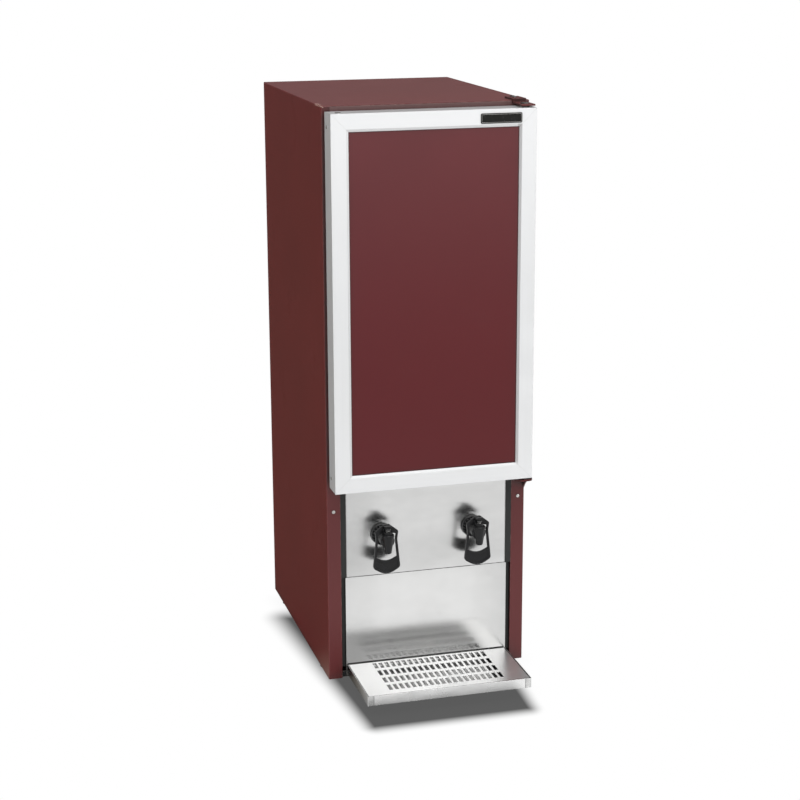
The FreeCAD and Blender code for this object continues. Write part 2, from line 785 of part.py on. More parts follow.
def make_partition():
    """Ceiling sheet of the machine space, with a flange for the rear grille."""
    body = new_body("Partition")
    low_z = foam_z - 1
    add_pad(
        body, "Sheet", "z", low_z, foam_z,
        lambda k: draw_box(k, -inner_x, inner_x, s.foam_front + 0.5, back_y - s.sheet_wall))
    add_pad(
        body, "RearFlange", "y", grille_y - 1, grille_y,
        lambda k: draw_box(k, -inner_x, inner_x, foam_z - 17, foam_z - 0.5))
    add_cut(
        body, "SuctionHole", "z", low_z - 1, foam_z + 1,
        lambda k: draw_circle(k, suction_x, suction_y, suction_hole))
    add_cut(
        body, "ScrewHoles", "y", grille_y - 2, grille_y + 1,
        lambda k: [draw_circle(k, x, foam_z - 8, side_hole_radius) for x in grille_screw_xs()])
    hand_over(body, "partition_plate")


def grille_screw_xs():
    return (-half_width + 15, half_width * 0, half_width - 15)


def make_base():
    """Base pan with upturned front and rear flanges and rows of air slots."""
    body = new_body("Base")
    add_pad(
        body, "Sheet", "z", base_z, base_top_z,
        lambda k: draw_box(k, -inner_x, inner_x, 3.4, grille_y))
    add_pad(
        body, "FrontFlange", "y", fixed(3.4), fixed(4.6),
        lambda k: draw_box(k, -inner_x + 22, inner_x - 22, base_z, base_z + 9))
    add_pad(
        body, "RearFlange", "y", grille_y - 1.2, grille_y,
        lambda k: draw_box(k, -inner_x, inner_x, base_z, base_z + 18))
    for side, letter in ((-1, "L"), (1, "R")):
        x0 = inner_x - 1.2 if side > 0 else -inner_x
        add_pad(
            body, "SideFlange" + letter, "z", base_z, base_z + 14,
            lambda k: draw_box(k, x0, x0 + 1.2, 15, grille_y))
    slot = add_cut(
        body, "AirSlot", "z", base_z - 1, base_top_z + 1,
        lambda k: draw_box(k, -98, -92, 22, 40))
    add_row(body, "AirSlots", slot, "H_Axis", fixed(190), 14)
    add_cut(
        body, "FootHoles", "z", base_z - 1, base_top_z + 1,
        lambda k: [draw_circle(k, x, y, 3.1) for x, y in foot_places()])
    add_cut(
        body, "ScrewHoles", "y", grille_y - 2.5, grille_y + 1,
        lambda k: [draw_circle(k, x, base_z + 10, side_hole_radius) for x in grille_screw_xs()])
    hand_over(body, "base_plate")


def foot_places():
    x = half_width - s.foot_inset_side
    return [
        (side * x, y) for side in (-1, 1)
        for y in (s.foot_inset_front, back_y - s.foot_inset_back)]


def make_feet():
    """Four rubber feet, each with its stud and nut above the base pan."""
    feet = []
    radius = s.foot_radius
    for index, (x, y) in enumerate(foot_places()):
        body = new_body(f"Foot{index}")
        add_turn(
            body, "Turn", "XZ_Plane", (x, 0, -y),
            [(0, 0), (radius - 2.5, 0), (radius, 2), (radius - 1, base_z), (3, base_z),
             (3, base_top_z), (5.5, base_top_z), (5.5, base_top_z + 4),
             (3, base_top_z + 4), (3, base_top_z + 6), (0, base_top_z + 6)], "V_Axis")
        feet.append(body)
    hand_over(group("Feet", feet), "feet")


def make_rear_grille():
    """Louvred cover of the machine space, with holes for the knob and the inlet."""
    body = new_body("RearGrille")
    low_z = base_z
    high_z = foam_z - 1
    add_pad(
        body, "Sheet", "y", grille_y, grille_y + 1,
        lambda k: draw_box(k, -inner_x + 0.3, inner_x - 0.3, low_z, high_z))
    for side, letter in ((-1, "L"), (1, "R")):
        x0 = inner_x - 1.3 if side > 0 else -inner_x + 0.3
        add_pad(
            body, "Fold" + letter, "y", grille_y + 0.5, grille_y + 12,
            lambda k: draw_box(k, x0, x0 + 1, low_z, high_z))
    slot = add_cut(
        body, "Louvre", "y", grille_y - 1, grille_y + 2,
        lambda k: [draw_box(k, x, x + 44, low_z + 22, low_z + 27) for x in (-50, 4)])
    add_row(body, "Louvres", slot, "V_Axis", fixed(118), 12)
    add_cut(
        body, "KnobHole", "y", grille_y - 1, grille_y + 2,
        lambda k: draw_circle(k, knob_x, knob_z, 4))
    add_cut(
        body, "InletHole", "y", grille_y - 1, grille_y + 2,
        lambda k: draw_box(k, inlet_x - 14, inlet_x + 14, inlet_z - 10.2, inlet_z + 10.2))
    add_cut(body, "ScrewHoles", "y", grille_y - 1, grille_y + 2, draw_grille_holes)
    hand_over(body, "rear_grille")


def draw_grille_holes(sketch):
    for x in grille_screw_xs():
        draw_circle(sketch, x, foam_z - 8, side_hole_radius)
        draw_circle(sketch, x, base_z + 10, side_hole_radius)


def make_case_screws():
    """Pan-head screws: one in each column and six in the rear grille."""
    screws = []
    for side, letter in ((-1, "L"), (1, "R")):
        screws.append(pan_screw(
            "ColumnScrew" + letter, "y", column_screw_x * side, fixed(-1.3),
            column_screw_z, 2.7, 1.3, 9))
    for index, x in enumerate(grille_screw_xs()):
        for z, level in ((foam_z - 8, "High"), (base_z + 10, "Low")):
            head = rod_of(f"Head{level}{index}", "y", 3.2, x, grille_y + 1, z, 2)
            shank = rod_of(f"Shank{level}{index}", "y", 1.7, x, grille_y - 7, z, 8)
            screws.append(fuse(f"GrilleScrew{level}{index}", [head, shank]))
    hand_over(group("CaseScrews", screws), "case_screws")


# ------------------------------------------------------------------ wine bay
def make_shelf(label, level):
    """Wire shelf: a rod frame that carries cross wires, resting on the ledges."""
    pitch = s.shelf_wire_pitch
    rod = 2.5
    wire = 1.6
    z = ledge_z + s.shelf_spacing * level + rod
    x1 = tub_x - rod - 0.6
    y0 = fixed(46)
    y1 = tub_back_y - 44
    items = []
    for side in (-1, 1):
        items.append(rod_of(label + f"Side{side + 1}", "y", rod, x1 * side, y0, z, y1 - y0))
    for index, y in enumerate((y0, y0 + (y1 - y0) / 2, y1)):
        items.append(rod_of(label + f"Bar{index}", "x", rod, -x1, y, z, x1 * 2))
    for index in range(10):
        x = pitch * (index - 4.5)
        items.append(rod_of(
            label + f"Wire{index}", "y", wire, x, y0, z + rod, y1 - y0))
    hand_over(fuse(label, items), label)


def make_evaporator():
    """Roll-bonded cold plate at the back of the bay, with its flow channel raised."""
    body = new_body("Evaporator")
    y1 = tub_back_y - 7
    low_z = mouth_z + 70
    high_z = ceiling_z - 60
    half = tub_x - 22
    add_pad(
        body, "Plate", "y", y1 - 1.5, y1,
        lambda k: draw_rounded_box(k, -half, half, low_z, high_z, 10))
    rise = (high_z - low_z - 40) / 8
    run = add_pad(
        body, "Run", "y", y1 - 4.5, y1 - 1,
        lambda k: draw_rounded_box(k, -half + 16, half - 16, low_z + 20, low_z + 27, 3))
    add_row(body, "Runs", run, "V_Axis", rise * 8, 9)
    for side, letter in ((-1, "L"), (1, "R")):
        x0 = half - 23 if side > 0 else -half + 16
        z0 = low_z + 20 + (rise if side > 0 else 0)
        turn = add_pad(
            body, "Turn" + letter, "y", y1 - 4.5, y1 - 1,
            lambda k: draw_box(k, x0, x0 + 7, z0 + 3, z0 + rise + 4))
        add_row(body, "Turns" + letter, turn, "V_Axis", rise * 6, 4)
    for index, (x, z) in enumerate((i, k) for i in (-1, 1) for k in (low_z + 12, high_z - 12)):
        add_pad(
            body, f"Standoff{index}", "y", y1 - 0.5, tub_back_y,
            lambda k: draw_circle(k, (half - 10) * x, z, 4))
    hand_over(body, "evaporator_plate")


def make_hoses():
    """Wine hoses from the tap shanks up to the bag connectors."""
    radius = s.hose_radius
    start_y = hose_start_y()
    z = tap_z
    rise_y = start_y + 56
    for side, label in ((-1, "hose_left"), (1, "hose_right")):
        dock_x, dock_z = dock_place(side)
        if side < 0:
            route = [(-tap_x, start_y, z), (-tap_x, rise_y, z), (dock_x, rise_y, dock_z)]
        else:
            route = [
                (tap_x, start_y, z), (tap_x, rise_y, z), (dock_x, rise_y, z + 76),
                (dock_x, rise_y, dock_z)]
        item = shape_part(label.title().replace("_", ""), pipe_shape(route, radius, 32))
        hand_over(item, label)


def hose_start_y():
    return s.tap_wall + s.liner_wall + 17


def dock_place(side):
    """Where a bag connector stands: in the gap between two wires of its shelf."""
    pitch = s.shelf_wire_pitch
    level = 0 if side < 0 else 1
    x = -tap_x if side < 0 else pitch * 4
    return x, ledge_z + s.shelf_spacing * level - 14


def make_connectors():
    """Spigots for the spouts of the wine bags; a flange rests each on its shelf wires."""
    items = []
    wire_top = 2.5 * 2 + 1.6
    for side, letter in ((-1, "L"), (1, "R")):
        x, z = dock_place(side)
        y = hose_start_y() + 56
        seat = wire_top + 14
        body = new_body("Connector" + letter)
        add_turn(
            body, "Turn", "XZ_Plane", (x, z, -y),
            [(0, 0), (6.5, 0), (8.5, 6), (8.5, seat), (16, seat), (16, seat + 2.5),
             (7, seat + 2.5), (7, seat + 13), (5, seat + 16), (0, seat + 16)], "V_Axis")
        items.append(body)
    hand_over(group("Connectors", items), "bag_connectors")


# ------------------------------------------------------------------------ taps
def make_tap(side, hand):
    """One self-closing tap: collar, barrel and tapered spout in one moulding.

    The waterway comes in along the shank, drops past the valve seat and leaves
    through the spout. Two ears on the cap hold the lever pin.
    """
    x = tap_x * side
    body = new_body("TapBody" + hand.title())
    panel = s.panel_setback
    washer_y = panel - 2
    end_y = hose_start_y()
    barrel = s.barrel_radius
    collar = s.collar_radius
    add_turn(
        body, "Barrel", "YZ_Plane", (0, tap_z, x),
        [(spout_y, 0), (spout_y, barrel - 2), (spout_y + 2, barrel),
         (washer_y - 10, barrel), (washer_y - 10, collar - 4), (washer_y - 5.5, collar - 3.4),
         (washer_y - 5.5, collar - 0.8), (washer_y - 4.7, collar), (washer_y, collar),
         (washer_y, s.shank_radius), (end_y - 8, s.shank_radius), (end_y - 8, 5),
         (end_y, 5), (end_y, 0)], "H_Axis")
    tip_z = tap_z + 8 - s.spout_length
    cone_z = tap_z + 8
    top = s.spout_top_radius
    tip = s.spout_tip_radius
    add_turn(
        body, "Spout", "XZ_Plane", (x, 0, -spout_y),
        [(0, tip_z), (tip - 0.6, tip_z), (tip, tip_z + 1), (top, cone_z), (top + 0.4, cone_z),
         (top + 0.4, cap_z - 1), (top - 0.6, cap_z), (0, cap_z)], "V_Axis")
    ear_x = 4.6
    for index, x0 in enumerate((x - ear_x - 2, x + ear_x)):
        add_pad(body, f"Ear{index}", "x", x0, x0 + 2, draw_ear)
    seat_z = tap_z - 8
    add_cut(
        body, "PinHole", "x", x - 12, x + 12,
        lambda k: draw_circle(k, lever_y, pin_z, s.pin_radius + s.running_gap))
    add_cut(
        body, "Waterway", "y", spout_y, end_y + 1,
        lambda k: draw_circle(k, x, tap_z, s.bore_radius - 0.4))
    add_cut(
        body, "SpoutBore", "z", tip_z - 1, seat_z,
        lambda k: draw_circle(k, x, spout_y, s.bore_radius + 1))
    add_cut(
        body, "ValveBore", "z", seat_z - 1, cap_z - 3,
        lambda k: draw_circle(k, x, spout_y, s.bore_radius))
    add_cut(
        body, "StemGuide", "z", cap_z - 4, cap_z + 1,
        lambda k: draw_circle(k, x, spout_y, s.stem_radius + s.running_gap))
    add_pad(
        body, "Bonnet", "z", cap_z - 0.5, cap_z + 4.4,
        lambda k: [
            draw_circle(k, x, spout_y, 5.9),
            draw_circle(k, x, spout_y, s.stem_radius + 1.45)])
    hand_over(body, "tap_body_" + hand)


def draw_ear(sketch):
    draw_polygon(sketch, [
        (lever_y - 4.5, cap_z - 5), (lever_y + 6, cap_z - 5), (lever_y + 3, pin_z + 1.5),
        (lever_y + 1.5, pin_z + 2.6), (lever_y - 1.5, pin_z + 2.6), (lever_y - 3, pin_z + 1.5)])


def make_lever(side, hand):
    """Loop lever: a hub on the pin, two arms round the barrel and a glass paddle."""
    x = tap_x * side
    body = new_body("TapLever" + hand.title())
    half_thick = s.lever_thick / 2
    y0 = lever_y - half_thick
    y1 = lever_y + half_thick
    wide = s.lever_half_width
    arm = s.arm_width
    low_z = pin_z - s.lever_drop
    roof_z = pin_z + 3.2
    roof_top_z = pin_z + 7.2
    shoulder_z = pin_z - 4
    web_z = pin_z - 6.5
    waist_z = tap_z + 1
    paddle_z = low_z + 22
    slot_x = 7

    def draw_outside(sketch):
        draw_rounded(sketch, [
            (x - 4.4, roof_top_z, 2), (x - 18.4, shoulder_z, 3), (x - 16.8, waist_z, 20),
            (x - wide, low_z + 9, 6), (x, low_z - 3.8, 24), (x + wide, low_z + 9, 6),
            (x + 16.8, waist_z, 20), (x + 18.4, shoulder_z, 3), (x + 4.4, roof_top_z, 2)])

    def draw_inside(sketch):
        draw_rounded(sketch, [
            (x - slot_x, roof_z, 0.8), (x - slot_x, web_z, 0.8),
            (x - 18.2 + arm, web_z - 1.5, 2), (x - 16.8 + arm, waist_z, 18),
            (x - wide + arm + 2, paddle_z + 4, 1), (x, paddle_z - 4, 22),
            (x + wide - arm - 2, paddle_z + 4, 1), (x + 16.8 - arm, waist_z, 18),
            (x + 18.2 - arm, web_z - 1.5, 2), (x + slot_x, web_z, 0.8),
            (x + slot_x, roof_z, 0.8)])

    def draw_pocket(sketch):
        draw_rounded(sketch, [
            (x - wide + 5, paddle_z + 0.5, 1.5), (x - wide + 3.4, low_z + 10.5, 4),
            (x, low_z - 0.4, 21), (x + wide - 3.4, low_z + 10.5, 4),
            (x + wide - 5, paddle_z + 0.5, 1.5), (x, paddle_z - 6.5, 20)])

    add_pad(body, "Loop", "y", y0, y1, draw_outside)
    add_cut(body, "LoopHole", "y", y0 - 1, y1 + 1, draw_inside)
    add_cut(body, "PaddleDish", "y", y0 - 1, y0 + 1.2, draw_pocket)
    add_pad(
        body, "Roof", "x", x - 5.5, x + 5.5,
        lambda k: draw_rounded(k, [
            (spout_y - 4.5, roof_z + 1, 0.5), (y1 - 0.2, roof_z + 1, 0.3),
            (y1 - 0.2, roof_top_z - 0.8, 1), (spout_y - 1, roof_top_z - 0.8, 3)]))
    add_pad(
        body, "Nose", "x", x - 2.6, x + 2.6,
        lambda k: draw_polygon(k, [
            (spout_y - 1.2, roof_z + 2), (spout_y - 1.8, stem_top_z + s.seat_gap + 1),
            (spout_y - 0.6, stem_top_z + s.seat_gap), (spout_y + 0.6, stem_top_z + s.seat_gap),
            (spout_y + 1.8, stem_top_z + s.seat_gap + 1), (spout_y + 1.2, roof_z + 2)]))
    add_pad(
        body, "Lug", "x", x - 4.3, x + 4.3,
        lambda k: draw_polygon(k, [
            (lever_y - 2.4, roof_z + 1), (lever_y - 3, pin_z), (lever_y - 1.8, pin_z - 2.6),
            (lever_y + 1.8, pin_z - 2.6), (lever_y + 3, pin_z), (lever_y + 2.4, roof_z + 1)]))
    add_cut(
        body, "PinHole", "x", x - 5, x + 5,
        lambda k: draw_circle(k, lever_y, pin_z, s.pin_radius + s.running_gap))
    hand_over(body, "tap_lever_" + hand)


def make_stem(side, hand):
    """Valve stem: button head, guide shaft and the poppet under the seat."""
    x = tap_x * side
    seat_z = tap_z - 8
    body = new_body("ValveStem" + hand.title())
    poppet = s.bore_radius + 0.7
    add_turn(
        body, "Turn", "XZ_Plane", (x, 0, -spout_y),
        [(0, seat_z - 4), (poppet - 1, seat_z - 4), (poppet, seat_z - 3),
         (poppet, seat_z - s.running_gap), (1.5, seat_z - s.running_gap), (1.5, tap_z + 6),
         (s.stem_radius, tap_z + 7), (s.stem_radius, stem_top_z - 1.4),
         (4.2, stem_top_z - 1.4), (4.2, stem_top_z - 0.5), (3.4, stem_top_z),
         (0, stem_top_z)], "V_Axis")
    hand_over(body, "valve_stem_" + hand)


def make_spring(side, hand):
    """Return spring between the cap and the stem's head, its coils as rings."""
    x = tap_x * side
    wire = 0.45
    coil = s.stem_radius + 0.25 + wire
    low = cap_z + wire
    high = stem_top_z - 1.4 - wire
    rise = float(high - low)
    turns = 4
    axis = Vector(float(x), float(spout_y), float(low))
    helix = Part.makeHelix(rise / turns, rise, float(coil))
    helix.translate(axis)
    start = axis + Vector(float(coil), 0, 0)
    corners = [(-wire, -wire), (wire, -wire), (wire, wire), (-wire, wire), (-wire, -wire)]
    ring = Part.makePolygon([start + Vector(u, 0, v) for u, v in corners])
    shape = Part.Wire(helix.Edges).makePipeShell([ring], True, True)
    hand_over(shape_part("TapSpring" + hand.title(), shape), "tap_spring_" + hand)


def make_tap_fittings():
    """Washers before the panel, nuts inside the tub and the lever pins."""
    washers, nuts, pins = [], [], []
    shank = s.shank_radius
    tub_y = s.tap_wall + s.liner_wall
    for side, letter in ((-1, "L"), (1, "R")):
        x = tap_x * side
        ring = rod_of("WasherDisc" + letter, "y", s.collar_radius - 0.5, x, s.panel_setback - 2, tap_z, 2)
        hole = rod_of("WasherHole" + letter, "y", shank, x, s.panel_setback - 3, tap_z, 4)
        washers.append(cut("Washer" + letter, ring, hole))
        nut = new_body("Nut" + letter)
        outer = shank + 6
        corners = [
            (x + outer * math.cos(math.radians(60 * i)), tap_z + outer * math.sin(math.radians(60 * i)))
            for i in range(6)]
        add_pad(nut, "Hex", "y", tub_y, tub_y + 8, lambda k: draw_polygon(k, corners))
        add_cut(nut, "Thread", "y", tub_y - 1, tub_y + 9, lambda k: draw_circle(k, x, tap_z, shank))
        nuts.append(nut)
        pins.append(rod_of("Pin" + letter, "x", s.pin_radius, x - 6.6, lever_y, pin_z, 13.2))
    hand_over(group("TapWashers", washers), "tap_washers")
    hand_over(group("TapNuts", nuts), "tap_nuts")
    hand_over(group("LeverPins", pins), "lever_pins")


# ------------------------------------------------------------------- drip tray
def make_drip_tray():
    """Pressed tray with a raised floor edge; its back rim folds over two studs."""
    body = new_body("DripTray")
    wall = s.sheet_wall
    inner_back = tray_back_y - 6.5
    add_pad(
        body, "Pan", "z", tray_low_z, tray_top_z,
        lambda k: draw_rounded_box(k, -tray_x, tray_x, tray_front_y, inner_back, 1.2))
    add_cut(
        body, "Basin", "z", tray_low_z + wall, tray_top_z + 1,
        lambda k: draw_box(
            k, -tray_x + wall, tray_x - wall, tray_front_y + wall, inner_back - wall))
    add_pad(
        body, "RimTop", "z", tray_top_z - 2.2, tray_top_z - 2.2 + wall,
        lambda k: draw_box(k, -tray_x, tray_x, inner_back - 0.5, tray_back_y))
    add_pad(
        body, "Hook", "y", tray_back_y - wall, tray_back_y,
        lambda k: draw_box(k, -tray_x, tray_x, tray_low_z, tray_top_z - 2.2 + wall * 0.5))
    add_cut(
        body, "BackStep", "z", tray_top_z - 2.2 + wall, tray_top_z + 1,
        lambda k: draw_box(k, -tray_x + wall, tray_x - wall, inner_back - wall - 1, inner_back + 1))
    for side, letter in ((-1, "L"), (1, "R")):
        x0 = tray_x - wall if side > 0 else -tray_x
        add_pad(
            body, "Side" + letter, "z", tray_low_z, tray_top_z,
            lambda k: draw_box(k, x0, x0 + wall, inner_back - 1, tray_back_y))
    stud_slot = 2.4 + s.seat_gap
    add_cut(
        body, "StudSlots", "y", tray_back_y - wall - 1, tray_back_y + 1,
        lambda k: [
            draw_box(
                k, stud_x() * side - stud_slot, stud_x() * side + stud_slot,
                tray_low_z - 1, stud_z() + 2.4 + s.seat_gap)
            for side in (-1, 1)])
    for index, (x0, x1, y0, y1) in enumerate((
            (-tray_x + wall * 0.5, tray_x - wall * 0.5, tray_front_y + wall * 0.5, tray_front_y + 6),
            (-tray_x + wall * 0.5, tray_x - wall * 0.5, inner_back - 6, inner_back - wall * 0.5))):
        add_pad(
            body, f"Ledge{index}", "z", tray_top_z - 3.2, tray_top_z - 2.2,
            lambda k: draw_box(k, x0, x1, y0, y1))
    hand_over(body, "drip_tray")


def make_drip_grille():
    """Lift-out plate with rows of slots; short skirts locate it in the tray."""
    body = new_body("DripGrille")
    wall = s.sheet_wall
    gap = s.seat_gap
    low_z = tray_top_z - 2.2 + gap
    half = tray_x - wall - gap
    front = tray_front_y + wall + gap
    back = tray_back_y - 0.4
    high_z = low_z + 1.7
    add_pad(
        body, "Plate", "z", high_z - 1, high_z,
        lambda k: draw_rounded_box(k, -half, half, front, back, 1.5))
    add_pad(
        body, "FrontSkirt", "z", low_z, high_z - 0.5,
        lambda k: draw_box(k, -half + 2, half - 2, front, front + 1))
    add_pad(
        body, "BackSkirt", "z", low_z - gap + wall + gap, high_z - 0.5,
        lambda k: draw_box(k, -half + 2, half - 2, back - 1, back))
    first_y = tray_back_y - 5.7 - s.slot_length
    slot = add_cut(
        body, "Slot", "z", high_z - 2, high_z + 1,
        lambda k: draw_box(
            k, -slot_span / 2 - s.slot_width / 2, -slot_span / 2 + s.slot_width / 2,
            first_y, first_y + s.slot_length))
    row = body.newObject("PartDesign::LinearPattern", "Slots")
    row.Originals = [slot]
    row.Direction = (slot.Profile[0], ["H_Axis"])
    bind(row, "Length", slot_span)
    bind(row, "Occurrences", s.slot_columns)
    row.Direction2 = (slot.Profile[0], ["V_Axis"])
    row.Reversed2 = True
    bind(row, "Length2", (s.slot_rows - 1) * s.row_pitch)
    bind(row, "Occurrences2", s.slot_rows)
    body.Tip = row
    hand_over(body, "drip_grille")


# ------------------------------------------------------------------------ door
def frame_section():
    """Section of the door frame: distance in from the edge, and y."""
    wall = s.frame_wall
    front = door_front_y
    flange = s.gasket_inset + s.gasket_width + 1
    return [
        (0, front), (s.frame_face, front), (lip_width, front + 1.7), (lip_width, panel_y),
        (s.frame_face - 1.3, panel_y), (s.frame_face - 1.3, front + wall),
        (wall, front + wall), (wall, door_back_y - wall), (flange, door_back_y - wall),
        (flange, door_back_y), (0, door_back_y)]


def draw_mitre(sketch, x0, x1, z0, z1, side):
    """The four-sided face of one frame member, its ends mitred."""
    deep = s.gasket_inset + s.gasket_width + 2
    faces = {
        "left": [(x0, z0), (x0 + deep, z0 + deep), (x0 + deep, z1 - deep), (x0, z1)],
        "right": [(x1, z0), (x1, z1), (x1 - deep, z1 - deep), (x1 - deep, z0 + deep)],
        "top": [(x0, z1), (x0 + deep, z1 - deep), (x1 - deep, z1 - deep), (x1, z1)],
        "bottom": [(x0, z0), (x1, z0), (x1 - deep, z0 + deep), (x0 + deep, z0 + deep)]}
    draw_polygon(sketch, faces[side])


def make_door_member(name, label, side):
    """One mitred length of the aluminium frame profile."""
    profile = new_body(name + "Profile")
    section = frame_section()
    if side in ("left", "right"):
        turn = 1 if side == "left" else -1
        points = [(u * turn - door_x * turn, y) for u, y in section]
        add_pad(profile, "Length", "z", door_low_z, door_top_z, lambda k: draw_polygon(k, points))
    else:
        turn = 1 if side == "bottom" else -1
        edge = door_low_z if side == "bottom" else door_top_z
        points = [(y, edge + u * turn) for u, y in section]
        add_pad(profile, "Length", "x", -door_x, door_x, lambda k: draw_polygon(k, points))
        add_cut(
            profile, "BushHole", "z", edge - 4, edge + 4,
            lambda k: draw_circle(k, hinge_x, hinge_y, s.bush_radius + s.running_gap))
    ends = new_body(name + "Ends")
    add_pad(
        ends, "Mitre", "y", door_front_y - 1, door_back_y + 1,
        lambda k: draw_mitre(k, -door_x, door_x, door_low_z, door_top_z, side))
    if side in ("left", "right"):
        for z, letter in door_screw_zs():
            low_x = door_x - 4 if side == "right" else -door_x - 4
            add_cut(
                profile, "ScrewHole" + letter, "x", low_x, low_x + 8,
                lambda k: draw_circle(k, door_screw_y(), z, side_hole_radius))
    common = doc.addObject("Part::Common", name)
    common.Base = profile
    common.Tool = ends
    hand_over(common, label)


def door_screw_zs():
    return ((door_top_z - 20.8, "High"), (door_low_z + 18.5, "Low"))


def door_screw_y():
    return door_back_y - 13


def make_door_core():
    """Burgundy face sheet, foam core and inner sheet, held by the frame."""
    wall = s.frame_wall
    x1 = door_x - wall
    z0 = door_low_z + wall
    z1 = door_top_z - wall
    panel_edge = s.frame_face - 1.3
    face = new_body("DoorPanel")
    px = door_x - panel_edge
    add_pad(
        face, "Sheet", "y", panel_y, panel_y + 1,
        lambda k: draw_box(k, -px, px, door_low_z + panel_edge, door_top_z - panel_edge))
    hand_over(face, "door_panel")

    foam_low_y = panel_y + 1
    inner_y = door_back_y - wall - 1
    foam = new_body("DoorFoam")
    add_pad(foam, "Core", "y", foam_low_y, inner_y, lambda k: draw_box(k, -x1, x1, z0, z1))
    for z, letter in ((door_low_z - 1, "Low"), (door_top_z - s.bush_depth - 3, "High")):
        add_cut(
            foam, "BushSpace" + letter, "z", z, z + s.bush_depth + 4,
            lambda k: draw_circle(k, hinge_x, hinge_y, s.bush_radius + s.running_gap))
    for side, hand in ((-1, "L"), (1, "R")):
        low_x = x1 - 12 if side > 0 else -x1 - 1
        for z, letter in door_screw_zs():
            add_cut(
                foam, "ScrewSpace" + letter + hand, "x", low_x, low_x + 13,
                lambda k: draw_circle(k, door_screw_y(), z, 2.2))
    hand_over(foam, "door_foam")

    inner = new_body("DoorInner")
    add_pad(
        inner, "Sheet", "y", inner_y, inner_y + 1, lambda k: draw_box(k, -x1, x1, z0, z1))
    pan_edge = s.gasket_inset + s.gasket_width + 8
    add_pad(
        inner, "Raised", "y", inner_y + 0.5, door_back_y,
        lambda k: draw_rounded_box(
            k, -door_x + pan_edge, door_x - pan_edge, door_low_z + pan_edge,
            door_top_z - pan_edge, 14))
    hand_over(inner, "door_inner_panel")


def make_gasket():
    """Magnetic gasket: a base on the frame, a soft neck and the magnet strip."""
    body = new_body("DoorGasket")
    layers = ((0, 1.6, 0), (1.6, 4.4, 3.2), (4.4, s.door_gap - s.seat_gap, 0.8))
    for index, (low, high, shrink) in enumerate(layers):
        out_x = door_x - s.gasket_inset - shrink
        in_x = door_x - s.gasket_inset - s.gasket_width + shrink
        out_edge = s.gasket_inset + shrink
        in_edge = s.gasket_inset + s.gasket_width - shrink
        add_pad(
            body, f"Layer{index}", "y", door_back_y + low, door_back_y + high,
            lambda k: draw_gasket_ring(k, out_x, in_x, out_edge, in_edge))
    hand_over(body, "door_gasket")


def draw_gasket_ring(sketch, out_x, in_x, out_edge, in_edge):
    draw_rounded_box(sketch, -out_x, out_x, door_low_z + out_edge, door_top_z - out_edge, 5)
    draw_box(sketch, -in_x, in_x, door_low_z + in_edge, door_top_z - in_edge)


def make_door_fasteners():
    """Corner screws of the frame, and plugs in its two unused hinge holes."""
    items = []
    for side, hand in ((-1, "L"), (1, "R")):
        for z, letter in door_screw_zs():
            if side < 0:
                head = rod_of("DHead" + letter + hand, "x", 2.6, -door_x - 0.8, door_screw_y(), z, 0.8)
                shank = rod_of("DShank" + letter + hand, "x", 1.8, -door_x, door_screw_y(), z, 11)
            else:
                head = rod_of("DHead" + letter + hand, "x", 2.6, door_x, door_screw_y(), z, 0.8)
                shank = rod_of("DShank" + letter + hand, "x", 1.8, door_x - 11, door_screw_y(), z, 11)
            items.append(fuse("DoorScrew" + letter + hand, [head, shank]))
    items.append(rod_of("PlugHigh", "z", 4.5, -hinge_x, hinge_y, door_top_z, 0.8))
    items.append(rod_of("PlugLow", "z", 4.5, -hinge_x, hinge_y, door_low_z - 0.8, 0.8))
    hand_over(group("DoorScrews", items), "door_screws")


# ---------------------------------------------------------------------- hinges
def make_hinge_bushes():
    """Nylon bushes in the door frame; their flanges run on the brackets."""
    bushes = []
    out = s.bush_radius
    bore = s.hinge_pin_radius + s.running_gap
    flange = out + 1.2
    for z, turn, letter in ((door_top_z, 1, "High"), (door_low_z, -1, "Low")):
        body = new_body("Bush" + letter)
        depth = z - s.bush_depth * turn
        face = z + s.bush_flange * turn
        add_turn(
            body, "Turn", "XZ_Plane", (hinge_x, 0, -hinge_y),
            [(bore, depth), (out, depth), (out, z), (flange, z), (flange, face), (bore, face)],
            "V_Axis")
        bushes.append(body)
    hand_over(group("HingeBushes", bushes), "hinge_bushes")


def make_top_bracket():
    """Cranked plate: screwed to the cabinet top, stepping down over the door."""
    body = new_body("TopBracket")
    plate = 2.5
    low_z = door_top_z + s.bush_flange + bush_gap
    front = door_front_y + 1
    x0 = hinge_x - 9
    x1 = hinge_x + 12
    add_pad(
        body, "Crank", "x", x0, x1,
        lambda k: draw_polygon(k, [
            (front, low_z), (-0.1, low_z), (-0.1, top_z), (35, top_z), (35, top_z + plate),
            (-plate, top_z + plate), (-plate, low_z + plate), (front, low_z + plate)]))
    add_cut(
        body, "PinHole", "z", low_z - 1, low_z + plate + 1,
        lambda k: draw_circle(k, hinge_x, hinge_y, s.hinge_pin_radius))
    add_cut(
        body, "ScrewHoles", "z", top_z - 1, top_z + plate + 1,
        lambda k: [draw_circle(k, hinge_x, y, side_hole_radius) for y in top_screw_ys])
    hand_over(body, "top_hinge_bracket")


def lower_plate_z():
    return door_low_z - s.bush_flange - bush_gap


